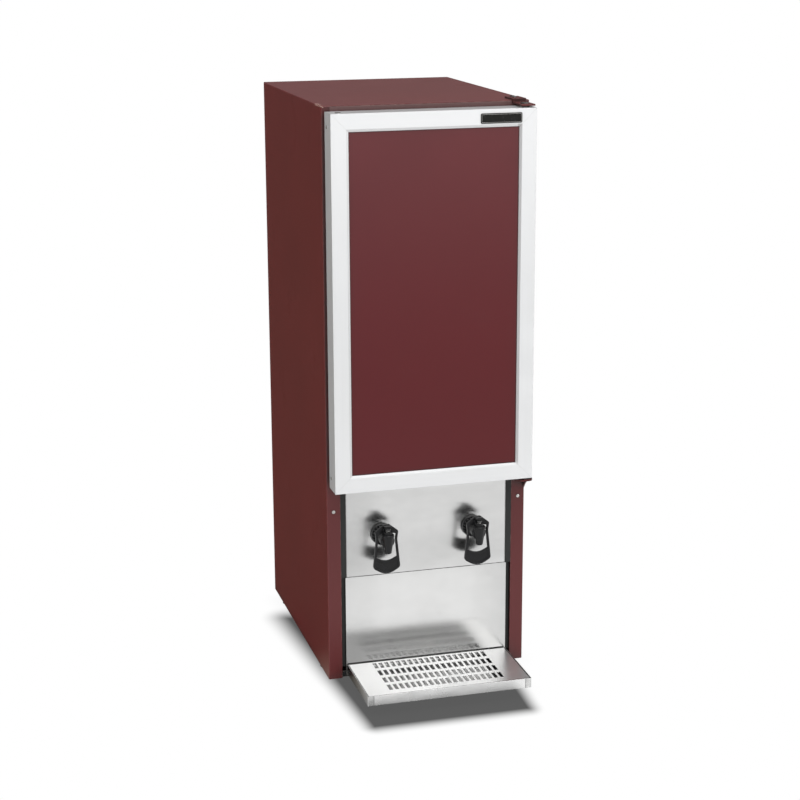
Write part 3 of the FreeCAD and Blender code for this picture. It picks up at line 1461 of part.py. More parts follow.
def make_bottom_bracket():
    """Welded bracket under the door: plate, leg up the column and a curved gusset."""
    body = new_body("BottomBracket")
    high_z = lower_plate_z()
    plate = 3
    front = door_front_y + 1
    x1 = half_width - 0.2
    x0 = column_x - 8
    add_pad(
        body, "Plate", "z", high_z - plate, high_z,
        lambda k: draw_rounded(k, [
            (x0, front + 8, 3), (x0 + 10, front, 3), (x1, front, 8), (x1, -0.1, 0.5),
            (x0, -0.1, 0.5)]))
    add_pad(
        body, "Leg", "y", fixed(-2.1), fixed(-0.1),
        lambda k: draw_box(k, hinge_x + 1.5, x1, high_z - 1, door_low_z + 26))
    add_pad(body, "Gusset", "x", x1 - 2, x1, draw_gusset)
    add_cut(
        body, "PinHole", "z", high_z - plate - 1, high_z + 1,
        lambda k: draw_circle(k, hinge_x, hinge_y, s.hinge_pin_radius))
    add_cut(
        body, "ScrewHoles", "y", fixed(-3), fixed(1),
        lambda k: [
            draw_circle(k, column_screw_x, door_low_z + rise, side_hole_radius)
            for rise in leg_screw_rises])
    hand_over(body, "bottom_hinge_bracket")


def draw_gusset(sketch):
    """Triangle under the plate with a hollow free edge."""
    high_z = lower_plate_z() - 1
    deep = s.hinge_reach + 4
    draw_rounded(sketch, [
        (-0.1, high_z, 0.4), (-deep, high_z, 0.4), (-deep, high_z - 4, 0.4),
        (deep * -0.3, high_z - 13, 38), (-0.1, high_z - 26, 0.4)])


def make_hinge_hardware():
    """Hinge pins fixed in the brackets, and the brackets' screws."""
    pins = []
    radius = s.hinge_pin_radius
    top_low = door_top_z + s.bush_flange + bush_gap
    reach = s.bush_depth - 1
    for letter in ("High", "Low"):
        body = new_body("HingePin" + letter)
        if letter == "High":
            z_end = door_top_z - reach
            points = [
                (0, z_end), (radius - 0.8, z_end), (radius, z_end + 1), (radius, top_low + 2.5),
                (radius + 2, top_low + 2.5), (radius + 2, top_low + 4), (0, top_low + 4)]
        else:
            z_end = door_low_z + reach
            plate_low = lower_plate_z() - 3
            points = [
                (0, z_end), (radius - 0.8, z_end), (radius, z_end - 1), (radius, plate_low),
                (radius + 2, plate_low), (radius + 2, plate_low - 1.5), (0, plate_low - 1.5)]
        add_turn(body, "Turn", "XZ_Plane", (hinge_x, 0, -hinge_y), points, "V_Axis")
        pins.append(body)
    hand_over(group("HingePins", pins), "hinge_pins")

    screws = []
    for index, y in enumerate(top_screw_ys):
        head = rod_of(f"TopHead{index}", "z", 3.2, hinge_x, y, top_z + 2.5, 1.6)
        shank = rod_of(f"TopShank{index}", "z", 1.8, hinge_x, y, top_z - 9, 11.5)
        screws.append(fuse(f"TopScrew{index}", [head, shank]))
    for index, rise in enumerate(leg_screw_rises):
        z = door_low_z + rise
        head = rod_of(f"LegHead{index}", "y", 3.2, column_screw_x, -3.3, z, 1.2)
        shank = rod_of(f"LegShank{index}", "y", 1.8, column_screw_x, -2.1, z, 12)
        screws.append(fuse(f"LegScrew{index}", [head, shank]))
    hand_over(group("HingeScrews", screws), "hinge_screws")


# --------------------------------------------------------------- machine space
def make_compressor():
    """Hermetic compressor: domed shell with a weld band, on a footed plate."""
    body = new_body("Compressor")
    radius = s.compressor_radius
    tall = s.compressor_height
    z = compressor_z + 2.5
    add_turn(
        body, "Shell", "XZ_Plane", (compressor_x, 0, -compressor_y),
        [(0, z - 0.5), (radius * 0.72, z - 0.5), (radius * 0.9, z + 5), (radius * 0.97, z + 18),
         (radius * 0.97, z + tall * 0.55), (radius, z + tall * 0.56), (radius, z + tall * 0.61),
         (radius * 0.97, z + tall * 0.62), (radius * 0.93, z + tall * 0.78),
         (radius * 0.78, z + tall * 0.92), (radius * 0.5, z + tall * 0.985),
         (radius * 0.2, z + tall), (0, z + tall)], "V_Axis")
    half = radius + 10
    add_pad(
        body, "Plate", "z", compressor_z, z,
        lambda k: draw_rounded_box(
            k, compressor_x - half, compressor_x + half, compressor_y - half * 0.75,
            compressor_y + half * 0.75, 12))
    add_cut(
        body, "GrommetHoles", "z", compressor_z - 1, z + 0.2,
        lambda k: [draw_circle(k, x, y, 4.5) for x, y in grommet_places()])
    add_pad(
        body, "DischargeStub", "y", compressor_y - radius - 8, compressor_y - radius * 0.8,
        lambda k: draw_circle(k, compressor_x - 18, compressor_z + 66, 4.5))
    add_pad(
        body, "SuctionStub", "x", compressor_x + radius * 0.8, compressor_x + radius + 8,
        lambda k: draw_circle(k, compressor_y + 30, compressor_z + 100, 5))
    hand_over(body, "compressor")


def grommet_places():
    half = s.compressor_radius
    return [
        (compressor_x + (half - 1) * i, compressor_y + (half * 0.75 - 4) * j)
        for i in (-1, 1) for j in (-1, 1)]


def make_grommets():
    """Rubber grommets between the compressor's plate and the base pan."""
    items = []
    for index, (x, y) in enumerate(grommet_places()):
        body = new_body(f"Grommet{index}")
        add_turn(
            body, "Turn", "XZ_Plane", (x, 0, -y),
            [(0, base_top_z), (8, base_top_z), (9, base_top_z + 3), (7.5, base_top_z + 7),
             (8, compressor_z), (4.4, compressor_z), (4.4, compressor_z + 2.5),
             (6.5, compressor_z + 2.6), (6.5, compressor_z + 5), (0, compressor_z + 5)],
            "V_Axis")
        items.append(body)
    hand_over(group("Grommets", items), "compressor_grommets")


def make_relay_cover():
    """Plastic cover over the compressor's terminals, on its right side."""
    body = new_body("RelayCover")
    radius = s.compressor_radius
    x0 = compressor_x + radius
    low_z = compressor_z + 34
    add_pad(
        body, "Cover", "x", x0 + s.seat_gap, x0 + 24,
        lambda k: draw_rounded_box(
            k, compressor_y - 24, compressor_y + 24, low_z, low_z + 52, 6))
    hand_over(body, "relay_cover")


def make_condenser():
    """Finned condenser block with return bends at both ends."""
    body = new_body("Condenser")
    half = inner_x - 46
    low_z = base_top_z + 12
    high_z = foam_z - 22
    y1 = shroud_y
    add_pad(
        body, "Block", "y", fixed(condenser_y), fixed(y1),
        lambda k: draw_box(k, -half, half, low_z, high_z))
    gap = half * 2 / 24
    for y0, name in ((condenser_y - 1, "Front"), (y1 - 13, "Back")):
        groove = add_cut(
            body, "Groove" + name, "y", fixed(y0), fixed(y0 + 14),
            lambda k: draw_box(k, -half + gap * 0.4, -half + gap, low_z + 2, high_z - 2))
        add_row(body, "Grooves" + name, groove, "H_Axis", gap * 23, 24)
    add_pad(
        body, "EndPlates", "z", base_top_z, high_z + 4,
        lambda k: [
            draw_box(k, x0, x0 + 1.5, condenser_y, y1)
            for x0 in (-half - 1.5, half)])
    rise = (high_z - low_z - 24) / 3
    for side, index in ((-1, 1), (1, 0), (1, 2)):
        x = (half + 1) * side
        z = low_z + 12 + rise * index
        add_pad(
            body, f"Bend{index}", "y", fixed(condenser_y + 15),
            fixed(condenser_y + 22),
            lambda k: draw_bend(k, x, side, z, rise))
    hand_over(body, "condenser")


def draw_bend(sketch, x, side, z, rise):
    """A return bend between two tubes, seen from the front."""
    out = x + side * 14
    low, high = (x, out) if side > 0 else (out, x)
    draw_rounded_box(sketch, low, high, z - 3.5, z + rise + 3.5, 3)


def make_fan():
    """Shroud with its ring and motor bracket, motor, and the twisted-blade rotor."""
    radius = s.fan_radius
    half = inner_x - 46
    low_z = base_top_z
    high_z = foam_z - 18
    y0 = shroud_y + 0.2
    shroud = new_body("FanShroud")
    add_pad(
        shroud, "Plate", "y", fixed(y0), fixed(y0 + 1.5),
        lambda k: [
            draw_box(k, -half - 1.5, half + 1.5, low_z, high_z),
            draw_circle(k, fan_x, fan_z, radius + 4)])
    add_pad(
        shroud, "Ring", "y", fixed(y0 + 1), fixed(y0 + 22),
        lambda k: [
            draw_circle(k, fan_x, fan_z, radius + 6),
            draw_circle(k, fan_x, fan_z, radius + 4)])
    bar_y = y0 + 30
    add_pad(
        shroud, "Bar", "y", fixed(bar_y), fixed(bar_y + 3),
        lambda k: [
            draw_box(k, fan_x - 9, fan_x + 9, fan_z - radius - 8, fan_z + radius + 8),
            draw_circle(k, fan_x, fan_z, 4)])
    for index, z0 in enumerate((fan_z - radius - 8, fan_z + radius + 3)):
        add_pad(
            shroud, f"Post{index}", "y", fixed(y0 + 1), fixed(bar_y + 1),
            lambda k: draw_box(k, fan_x - 9, fan_x + 9, z0, z0 + 5))
    hand_over(shroud, "fan_shroud")

    motor = new_body("FanMotor")
    add_turn(
        motor, "Turn", "YZ_Plane", (0, fan_z, fan_x),
        [(y0 + 6, 0), (y0 + 6, 2.5), (bar_y + 3, 2.5), (bar_y + 3, 14), (bar_y + 5, 18),
         (bar_y + 9, 20), (bar_y + 30, 20), (bar_y + 33, 16), (bar_y + 33, 0)], "H_Axis")
    add_pad(
        motor, "Core", "y", fixed(bar_y + 10), fixed(bar_y + 26),
        lambda k: draw_rounded_box(k, fan_x - 28, fan_x + 28, fan_z - 24, fan_z + 24, 5))
    hand_over(motor, "fan_motor")

    rotor = new_body("FanBlade")
    add_turn(
        rotor, "Hub", "YZ_Plane", (0, fan_z, fan_x),
        [(y0 + 4, 0), (y0 + 4, 12), (y0 + 6, 14), (y0 + 24, 14), (y0 + 24, 2.5 + 0.05),
         (y0 + 5.7, 2.5 + 0.05), (y0 + 5.7, 0)], "H_Axis")
    blade = body_blade(rotor, y0 + 14)
    fan = rotor.newObject("PartDesign::PolarPattern", "Blades")
    fan.Originals = [blade]
    fan.Axis = (hub_sketch(rotor), ["H_Axis"])
    fan.Angle = 360
    bind(fan, "Occurrences", s.fan_blades)
    rotor.Tip = fan
    hand_over(rotor, "fan_blade")


def hub_sketch(body):
    """The sketch of the rotor's hub, whose horizontal axis is the fan's axis."""
    return next(item for item in body.Group if item.Name.startswith("HubSketch"))


def body_blade(body, mid_y):
    """One blade, lofted from a steep root section to a flatter tip section."""
    sections = []
    for index, (reach, pitch, chord) in enumerate(((11, 48, 17), (s.fan_radius - 1, 24, 34))):
        sketch = new_sketch(body, f"BladeSection{index}", "XY_Plane", (fan_x, mid_y, fan_z + reach))
        angle = math.radians(pitch)
        along = Vector(math.cos(angle), math.sin(angle), 0)
        across = Vector(-math.sin(angle), math.cos(angle), 0)
        corners = []
        for u, v in ((-0.5, -0.5), (0, -1.6), (0.5, -0.5), (0.5, 0.7), (0, 0.4), (-0.5, 0.7)):
            point = along * (chord * u) + across * v
            corners.append((point.x, point.y))
        draw_polygon(sketch, corners)
        sections.append(sketch)
    loft = body.newObject("PartDesign::AdditiveLoft", "Blade")
    loft.Profile = sections[0]
    loft.Sections = [sections[1]]
    loft.Ruled = True
    return loft


def make_pipes():
    """Copper lines of the cold circuit, with the drier in the liquid line."""
    radius = s.compressor_radius
    half = inner_x - 46
    end_x = -half - 1.5
    low_z = base_top_z + 24
    high_z = foam_z - 34
    pipe_y = condenser_y + 18.5
    stub_x = compressor_x - 18
    stub_y = compressor_y - radius - 8
    stub_z = compressor_z + 66
    discharge = [
        (stub_x, stub_y, stub_z), (stub_x, stub_y - 16, stub_z),
        (end_x - 12, stub_y - 34, stub_z), (end_x - 12, pipe_y + 24, high_z),
        (end_x - 12, pipe_y, high_z), (end_x, pipe_y, high_z)]
    item = shape_part("DischargePipe", pipe_shape(discharge, 3, 7))
    hand_over(item, "discharge_pipe")

    plate_y = tub_back_y - 11.5
    plate_z = mouth_z + 93.5
    return_x = compressor_x + radius + 8
    return_y = compressor_y + 30
    return_z = compressor_z + 100
    suction = [
        (suction_x, plate_y, plate_z), (suction_x, suction_y, plate_z),
        (suction_x, suction_y, return_z), (return_x + 20, return_y, return_z),
        (return_x, return_y, return_z)]
    item = shape_part("SuctionPipe", pipe_shape(suction, 3.5, 9))
    hand_over(item, "suction_pipe")

    drier_x = end_x - 14
    drier_y = pipe_y + 34
    body = new_body("Drier")
    add_turn(
        body, "Turn", "YZ_Plane", (0, low_z, drier_x),
        [(drier_y, 0), (drier_y, 3), (drier_y + 8, 9), (drier_y + 66, 9),
         (drier_y + 74, 3), (drier_y + 74, 0)], "H_Axis")
    inlet = pipe_shape(
        [(end_x, pipe_y, low_z), (drier_x, pipe_y, low_z), (drier_x, drier_y + 1, low_z)], 3, 7)
    thin_x = suction_x + 4.9
    capillary = pipe_shape(
        [(drier_x, drier_y + 73, low_z), (drier_x, drier_y + 100, low_z),
         (thin_x, drier_y + 118, low_z), (thin_x, suction_y, low_z),
         (thin_x, suction_y, plate_z - 12), (thin_x, plate_y + 3, plate_z - 12)], 1.1, 8)
    pieces = [body, shape_part("DrierInlet", inlet), shape_part("Capillary", capillary)]
    hand_over(fuse("FilterDrier", pieces), "filter_drier")


def make_thermostat():
    """Thermostat behind the rear grille, with the knob and spindle outside it."""
    x = knob_x
    z = knob_z
    box = box_of("ThermostatBox", x - 20, x + 20, grille_y - 32, grille_y, z - 15, z + 15)
    bore = rod_of("ThermostatBore", "y", 3.05, x, grille_y - 12, z, 13)
    hand_over(cut("Thermostat", box, bore), "thermostat")

    knob = new_body("ThermostatKnob")
    y0 = grille_y + 1.4
    radius = s.knob_radius
    add_turn(
        knob, "Turn", "YZ_Plane", (0, z, x),
        [(grille_y - 11, 0), (grille_y - 11, 3), (y0, 3), (y0, radius), (y0 + 3, radius),
         (y0 + 4.5, radius - 2), (y0 + 11, radius - 3.5), (y0 + 12, radius - 4.5),
         (y0 + 12, 0)], "H_Axis")
    add_pad(
        knob, "Grip", "y", y0 + 3, y0 + 12.4,
        lambda k: draw_rounded_box(k, x - 2.5, x + 2.5, z - radius + 1, z + radius - 1, 1.5))
    hand_over(knob, "thermostat_knob")


def make_inlet():
    """Mains inlet: flanged socket with three blades, in the rear grille."""
    x = inlet_x
    z = inlet_z
    body = new_body("MainsInlet")
    add_pad(
        body, "Case", "y", grille_y - 22, grille_y + 1.5,
        lambda k: draw_box(k, x - 13.8, x + 13.8, z - 10, z + 10))
    add_pad(
        body, "Flange", "y", grille_y + 1, grille_y + 3.5,
        lambda k: draw_rounded(k, [
            (x - 25, z, 4), (x - 15, z - 12.5, 3), (x + 15, z - 12.5, 3), (x + 25, z, 4),
            (x + 15, z + 12.5, 3), (x - 15, z + 12.5, 3)]))
    add_cut(
        body, "Socket", "y", grille_y - 12.5, grille_y + 4,
        lambda k: draw_polygon(k, [
            (x - 12, z - 8), (x + 12, z - 8), (x + 12, z + 3.5), (x + 7.5, z + 8),
            (x - 7.5, z + 8), (x - 12, z + 3.5)]))
    for index, (dx, dz) in enumerate(((-7, -3.5), (0, 0.5), (7, -3.5))):
        add_pad(
            body, f"Blade{index}", "y", grille_y - 13, grille_y - 3,
            lambda k: draw_box(k, x + dx - 1, x + dx + 1, z + dz - 2, z + dz + 2))
    hand_over(body, "mains_inlet")


# ----------------------------------------------------------------------- build
def build():
    make_outer_shell()
    make_top_rail()
    make_front_trim()
    make_panels()
    make_tray_studs()
    make_inner_liner()
    make_insulation()
    make_rear_panel()
    make_partition()
    make_base()
    make_feet()
    make_rear_grille()
    make_case_screws()
    make_shelf("lower_shelf", 0)
    make_shelf("upper_shelf", 1)
    make_evaporator()
    make_hoses()
    make_connectors()
    for side, hand in ((-1, "left"), (1, "right")):
        make_tap(side, hand)
        make_lever(side, hand)
        make_stem(side, hand)
        make_spring(side, hand)
    make_tap_fittings()
    make_drip_tray()
    make_drip_grille()
    make_door_member("StileLeft", "door_stile_left", "left")
    make_door_member("StileRight", "door_stile_right", "right")
    make_door_member("RailTop", "door_rail_top", "top")
    make_door_member("RailBottom", "door_rail_bottom", "bottom")
    make_door_core()
    make_gasket()
    make_door_fasteners()
    make_hinge_bushes()
    make_top_bracket()
    make_bottom_bracket()
    make_hinge_hardware()
    make_compressor()
    make_grommets()
    make_relay_cover()
    make_condenser()
    make_fan()
    make_pipes()
    make_thermostat()
    make_inlet()


def check_document():
    """Stop when a feature failed, or when a cut removed nothing."""
    faults = []
    for item in doc.Objects:
        if "Invalid" in item.State or "Error" in item.State:
            faults.append(f"{item.Name} failed: {item.State}")
        elif item.TypeId in ("PartDesign::Pocket", "PartDesign::Groove"):
            before = item.BaseFeature.Shape.Volume
            if item.Shape.Volume > before - 0.01:
                faults.append(f"{item.Name} cuts nothing")
    for part in parts:
        if part.Shape.isNull() or not part.Shape.isValid():
            faults.append(f"{part.Label} has no valid shape")
    if faults:
        raise RuntimeError("; ".join(faults))


def write_parts():
    os.makedirs("parts", exist_ok=True)
    for part in parts:
        part.Shape.exportStep(f"parts/{part.Label}.step")
        box = part.Shape.BoundBox
        print(f"{part.Label}: {len(part.Shape.Solids)} solids, {part.Shape.Volume / 1000:.2f} cm3,"
              f" z {box.ZMin:.1f} to {box.ZMax:.1f}")


build()
doc.recompute()
check_document()
write_parts()
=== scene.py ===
"""Looks of a two-tap wine cooler: finishes for its CAD pieces, and the small parts that only show.

Laid out as an add-on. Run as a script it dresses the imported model, stage included.
"""

import json
import math

import bmesh
import bpy
from bpy.props import FloatProperty, FloatVectorProperty, IntProperty, PointerProperty
from bpy.types import NodeSocket, Operator, Panel, PropertyGroup
from mathutils import Matrix, Vector


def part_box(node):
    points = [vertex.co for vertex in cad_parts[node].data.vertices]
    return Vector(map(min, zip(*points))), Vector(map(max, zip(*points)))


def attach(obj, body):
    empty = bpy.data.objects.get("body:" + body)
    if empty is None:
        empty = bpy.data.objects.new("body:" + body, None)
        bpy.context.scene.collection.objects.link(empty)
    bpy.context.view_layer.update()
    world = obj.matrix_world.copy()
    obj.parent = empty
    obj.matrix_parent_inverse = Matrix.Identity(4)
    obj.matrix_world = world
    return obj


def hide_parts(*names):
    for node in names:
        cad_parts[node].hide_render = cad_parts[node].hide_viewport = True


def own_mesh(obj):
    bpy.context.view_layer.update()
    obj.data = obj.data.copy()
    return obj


bl_info = {
    "name": "Two-tap wine cooler",
    "version": (1, 0, 0),
    "blender": (4, 5, 0),
    "location": "View3D > Sidebar > Cooler",
    "description": "Finishes, small parts and stage of a counter-top wine cooler",
    "category": "Object",
}

MM = 0.001
ACROSS = Vector((1.0, 0.0, 0.0))
INWARD = Vector((0.0, 1.0, 0.0))
UPWARD = Vector((0.0, 0.0, 1.0))
HANDS = ("left", "right")
BLACK = (0.0, 0.0, 0.0)
WHITE = (1.0, 1.0, 1.0)

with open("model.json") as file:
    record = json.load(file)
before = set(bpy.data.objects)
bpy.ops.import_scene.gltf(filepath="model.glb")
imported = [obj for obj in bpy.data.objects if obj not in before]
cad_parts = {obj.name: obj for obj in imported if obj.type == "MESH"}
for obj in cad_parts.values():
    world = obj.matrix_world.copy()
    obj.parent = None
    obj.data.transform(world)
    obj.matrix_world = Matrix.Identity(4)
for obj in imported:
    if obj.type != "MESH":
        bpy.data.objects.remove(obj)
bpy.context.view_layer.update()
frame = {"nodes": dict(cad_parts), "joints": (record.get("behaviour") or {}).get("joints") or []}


# ------------------------------------------------------------------- settings
def colour_setting(name, description, default):
    """A colour the user can pick, held as linear red, green and blue."""
    return FloatVectorProperty(
        name=name, description=description, default=default, subtype="COLOR", size=3, min=0.0, max=1.0)


def place_setting(name, description, default):
    return FloatVectorProperty(
        name=name, description=description, default=default, subtype="TRANSLATION", unit="LENGTH",
        size=len(default))


def length_setting(name, description, millimetres):
    return FloatProperty(name=name, description=description, default=millimetres * MM, unit="LENGTH")


def angle_setting(name, description, default):
    return FloatProperty(name=name, description=description, default=default, subtype="ANGLE")


def level_setting(name, description, default):
    return FloatProperty(name=name, description=description, default=default)


def count_setting(name, description, default):
    return IntProperty(name=name, description=description, default=default)


class CoolerFinish(PropertyGroup):
    """Colours of the finishes."""

    paint: colour_setting("Cabinet paint", "Burgundy powder coat", (0.072, 0.0076, 0.0080))
    door_paint: colour_setting("Door paint", "Burgundy of the door's sheet", (0.071, 0.0096, 0.0118))
    # Painted shade: the door's sheet darkens towards this tone low down
    door_foot: colour_setting("Door foot", "The sheet's deeper tone low down", (0.0596, 0.0006, 0.0022))
    aluminium: colour_setting("Door frame", "Satin anodised aluminium", (0.63, 0.635, 0.64))
    steel: colour_setting("Steel", "Brushed stainless steel", (0.70, 0.70, 0.695))
    moulding: colour_setting("Tap moulding", "Black of the taps", (0.0075, 0.0075, 0.008))
    nylon: colour_setting("Nylon", "Dark nylon of the valve stems", (0.045, 0.045, 0.045))
    trim: colour_setting("Trim", "Black of the mouth trim", (0.013, 0.0135, 0.0125))
    liner: colour_setting("Liner", "White of the bay liner", (0.76, 0.76, 0.74))
    foam: colour_setting("Foam", "Cut face of the insulation", (0.72, 0.55, 0.25))
    zinc: colour_setting("Zinc", "Galvanised and plated steel", (0.57, 0.56, 0.545))
    enamel: colour_setting("Enamel", "Black enamel of the machine parts", (0.010, 0.010, 0.011))
    badge: colour_setting("Badge", "Gloss black of the bare plate", (0.004, 0.004, 0.004))
    copper: colour_setting("Copper", "Refrigerant tube", (0.72, 0.32, 0.18))
    rubber: colour_setting("Rubber", "Feet, washers and gasket", (0.018, 0.018, 0.018))
    hose: colour_setting("Hose", "Wine hose", (0.62, 0.55, 0.50))
    wine: colour_setting("Wine", "Wine seen through the hose", (0.16, 0.012, 0.030))


class CoolerDetail(PropertyGroup):
    """Sizes of the small parts that are added to the CAD pieces."""

    badge_width: length_setting("Badge width", "Width of the plate on the door", 63.9)
    badge_height: length_setting("Badge height", "Height of the plate on the door", 14.9)
    badge_right: length_setting("Badge place", "From the cabinet's middle to the plate's right end", 133.3)
    badge_top: length_setting("Badge top", "Height of the plate's top edge over the floor", 892.3)
    recess_length: level_setting("Recess length", "Length of a cross recess over its head's radius", 1.0)
    grip_count: count_setting("Grip ribs", "Ribs round the collar of each tap", 20)
    spring_coils: count_setting("Spring coils", "Coils of each tap's return spring", 4)
    fin_count: count_setting("Fins", "Thin fins across the condenser", 92)
    tick_count: count_setting("Ticks", "Marks round the thermostat knob", 11)


class CoolerStage(PropertyGroup):
    """Camera, lamps and floor."""

    camera_place: place_setting(
        "Camera place", "Where the camera stands", (-0.76142871, -2.76040282, 1.17168915))
    camera_turn: angle_setting("Camera turn", "Turn to the right of straight ahead", 0.26824)
    camera_dip: angle_setting("Camera dip", "Tilt below the horizon", 0.25782)
    camera_roll: angle_setting("Camera roll", "Roll about the line of sight", -0.00426)
    focal_ratio: level_setting("Focal ratio", "Focal length over the frame's width", 2.29357)
    key_power: level_setting("Key lamp", "Power of the big soft lamp, in watts", 22.5)
    fill_power: level_setting("Fill lamp", "Power of the lamp on the right, in watts", 5.0)
    room_level: level_setting("Room level", "Brightness of the room on matt surfaces", 0.60)
    shadow_low: place_setting("Shadow start", "Its left front corner on the floor", (-0.1292, -0.311))
    shadow_high: place_setting("Shadow end", "Its right back corner on the floor", (0.112, 0.150))
    shadow_slant: level_setting(
        "Left slant", "Drift of the shadow's left edge to the left, per metre to the back", 0.0675)
    shadow_right_slant: level_setting(
        "Right slant", "Drift of its right edge to the right, per metre to the back", 0.06)
    shadow_fades: place_setting(
        "Shadow fades", "Soft edge on the left, right, front and rear", (0.053, 0.028, 0.035, 0.062))
    shadow_front_fade: length_setting("Left front fade", "Left soft edge at its front end", 30.0)
    shadow_tone: level_setting("Shadow tone", "Display brightness inside the shadow", 0.3686)
    behind_level: level_setting("Behind level", "What glossy faces mirror from behind the cooler", 0.07)


def finish_settings():
    return bpy.context.scene.cooler_finish


def detail_settings():
    return bpy.context.scene.cooler_detail


def stage_settings():
    return bpy.context.scene.cooler_stage


# ---------------------------------------------------------------- node helpers
def add(tree, kind, inputs=None, **settings):
    """Adds a node; an input given as a socket is linked, any other is set."""
    made = tree.nodes.new(kind)
    for key, value in settings.items():
        setattr(made, key, value)
    for key, value in (inputs or {}).items():
        if isinstance(value, NodeSocket):
            tree.links.new(value, made.inputs[key])
        else:
            made.inputs[key].default_value = value
    return made


def new_group(name, inputs, outputs, kind="ShaderNodeTree"):
    """A node group and the sockets of its two ends. An input is its default or its kind's name."""
    tree = bpy.data.node_groups.new(name, kind)
    for label, default in inputs.items():
        named = isinstance(default, str)
        sort = default if named else {float: "Float", int: "Int", tuple: "Vector"}[type(default)]
        socket = tree.interface.new_socket(label, in_out="INPUT", socket_type=f"NodeSocket{sort}")
        if not named:
            socket.default_value = default
    for label, sort in outputs.items():
        tree.interface.new_socket(label, in_out="OUTPUT", socket_type=f"NodeSocket{sort}")
    start, end = tree.nodes.new("NodeGroupInput"), tree.nodes.new("NodeGroupOutput")
    return tree, start.outputs, end.inputs


def feed(tree, sockets, **values):
    """Links values to the sockets that the keywords name."""
    for key, value in values.items():
        tree.links.new(value, sockets[key.replace("_", " ").title()])


def number(tree, operation, first, second=0.0, **settings):
    return add(tree, "ShaderNodeMath", {0: first, 1: second}, operation=operation, **settings).outputs[0]


def product(tree, first, *others):
    for value in others:
        first = number(tree, "MULTIPLY", first, value)
    return first


def minus(tree, first, second, **settings):
    return number(tree, "SUBTRACT", first, second, **settings)


def apart(tree, first, second=0.0):
    """How far two values lie apart."""
    return number(tree, "ABSOLUTE", minus(tree, first, second))


def vector(tree, operation, first, second=(0.0, 0.0, 0.0)):
    return add(tree, "ShaderNodeVectorMath", {0: first, 1: second}, operation=operation).outputs[0]


def scaled(tree, arrow, factor):
    return add(tree, "ShaderNodeVectorMath", {0: arrow, "Scale": factor}, operation="SCALE").outputs[0]


def dot(tree, first, second):
    made = add(tree, "ShaderNodeVectorMath", {0: first, 1: second}, operation="DOT_PRODUCT")
    return made.outputs["Value"]


def combine(tree, x=0.0, y=0.0, z=0.0):
    return add(tree, "ShaderNodeCombineXYZ", {"X": x, "Y": y, "Z": z}).outputs[0]


def separate(tree, arrow):
    return add(tree, "ShaderNodeSeparateXYZ", {0: arrow}).outputs


def remap(tree, value, low, high, start=0.0, stop=1.0):
    """Value from start..stop to low..high, clamped."""
    inputs = {"Value": value, "From Min": start, "From Max": stop, "To Min": low, "To Max": high}
    return add(tree, "ShaderNodeMapRange", inputs).outputs["Result"]


def object_place(tree):
    return add(tree, "ShaderNodeTexCoord").outputs["Object"]


def axes(tree):
    """The three object coordinates."""
    return separate(tree, object_place(tree))


def noise(tree, scale, place, detail=2.0, rough=0.5):
    inputs = {"Vector": place, "Scale": scale, "Detail": detail, "Roughness": rough}
    return add(tree, "ShaderNodeTexNoise", inputs).outputs["Fac"]


def patches(tree, scale, detail, rough, *span):
    """Noise in object coordinates, remapped over a span."""
    return remap(tree, noise(tree, scale, object_place(tree), detail, rough), *span)


def rounded(tree, radius):
    """A normal that rounds the edges off."""
    return add(tree, "ShaderNodeBevel", {"Radius": radius}, samples=4).outputs[0]


def mix_number(tree, factor, first, second):
    return add(tree, "ShaderNodeMix", {0: factor, 2: first, 3: second}).outputs[0]


def mix_colour(tree, factor, first, second, **settings):
    """Mixes two colours, each a socket or red, green and blue."""
    first, second = (
        value if isinstance(value, NodeSocket) else (*value, 1.0) for value in (first, second))
    inputs = {0: factor, 6: first, 7: second}
    return add(tree, "ShaderNodeMix", inputs, data_type="RGBA", **settings).outputs[2]


def cover(tree, base, *layers):
    """Lays colours over a base one by one, each where its mask is one."""
    for shown, colour in layers:
        base = mix_colour(tree, shown, base, colour)
    return base


def tint(colour, level=1.0):
    """A colour made brighter or darker by level."""
    return tuple(min(1.0, part * level) for part in colour)


# --------------------------------------------------------------- shader groups
def build_grain():
    """Fine even grain, such as powder coat or moulded plastic, and a slow drift of tone."""
    tree, start, end = new_group("Fine grain", {"Size": 0.6 * MM}, {"Height": "Float", "Tone": "Float"})
    place = object_place(tree)
    scale = number(tree, "DIVIDE", 1.0, start["Size"])
    slow = number(tree, "DIVIDE", scale, 130.0)
    feed(tree, end, Height=noise(tree, scale, place, 1.5), Tone=noise(tree, slow, place, 3.0))


def build_brushing():
    """Brushed or drawn metal: lines along one direction that spread a reflection across it."""
    tree, start, end = new_group(
        "Brushed lines", {"Along": (1.0, 0.0, 0.0), "Line": 0.5 * MM, "Tilt": 0.25, "Round": 0.5 * MM},
        {"Normal": "Vector", "Tone": "Float"})
    place = object_place(tree)
    along = start["Along"]
    share = product(tree, dot(tree, place, along), 0.985)
    drawn = vector(tree, "SUBTRACT", place, scaled(tree, along, share))
    scale = number(tree, "DIVIDE", 1.0, start["Line"])
    fine = noise(tree, scale, drawn, 2.0, 0.6)
    broad = noise(tree, number(tree, "DIVIDE", scale, 14.0), drawn, 3.0, 0.6)
    normal = rounded(tree, start["Round"])
    lean = product(tree, minus(tree, fine, 0.5), start["Tilt"])
    leant = scaled(tree, vector(tree, "CROSS_PRODUCT", normal, along), lean)
    feed(tree, end, Normal=vector(tree, "NORMALIZE", vector(tree, "ADD", normal, leant)), Tone=broad)


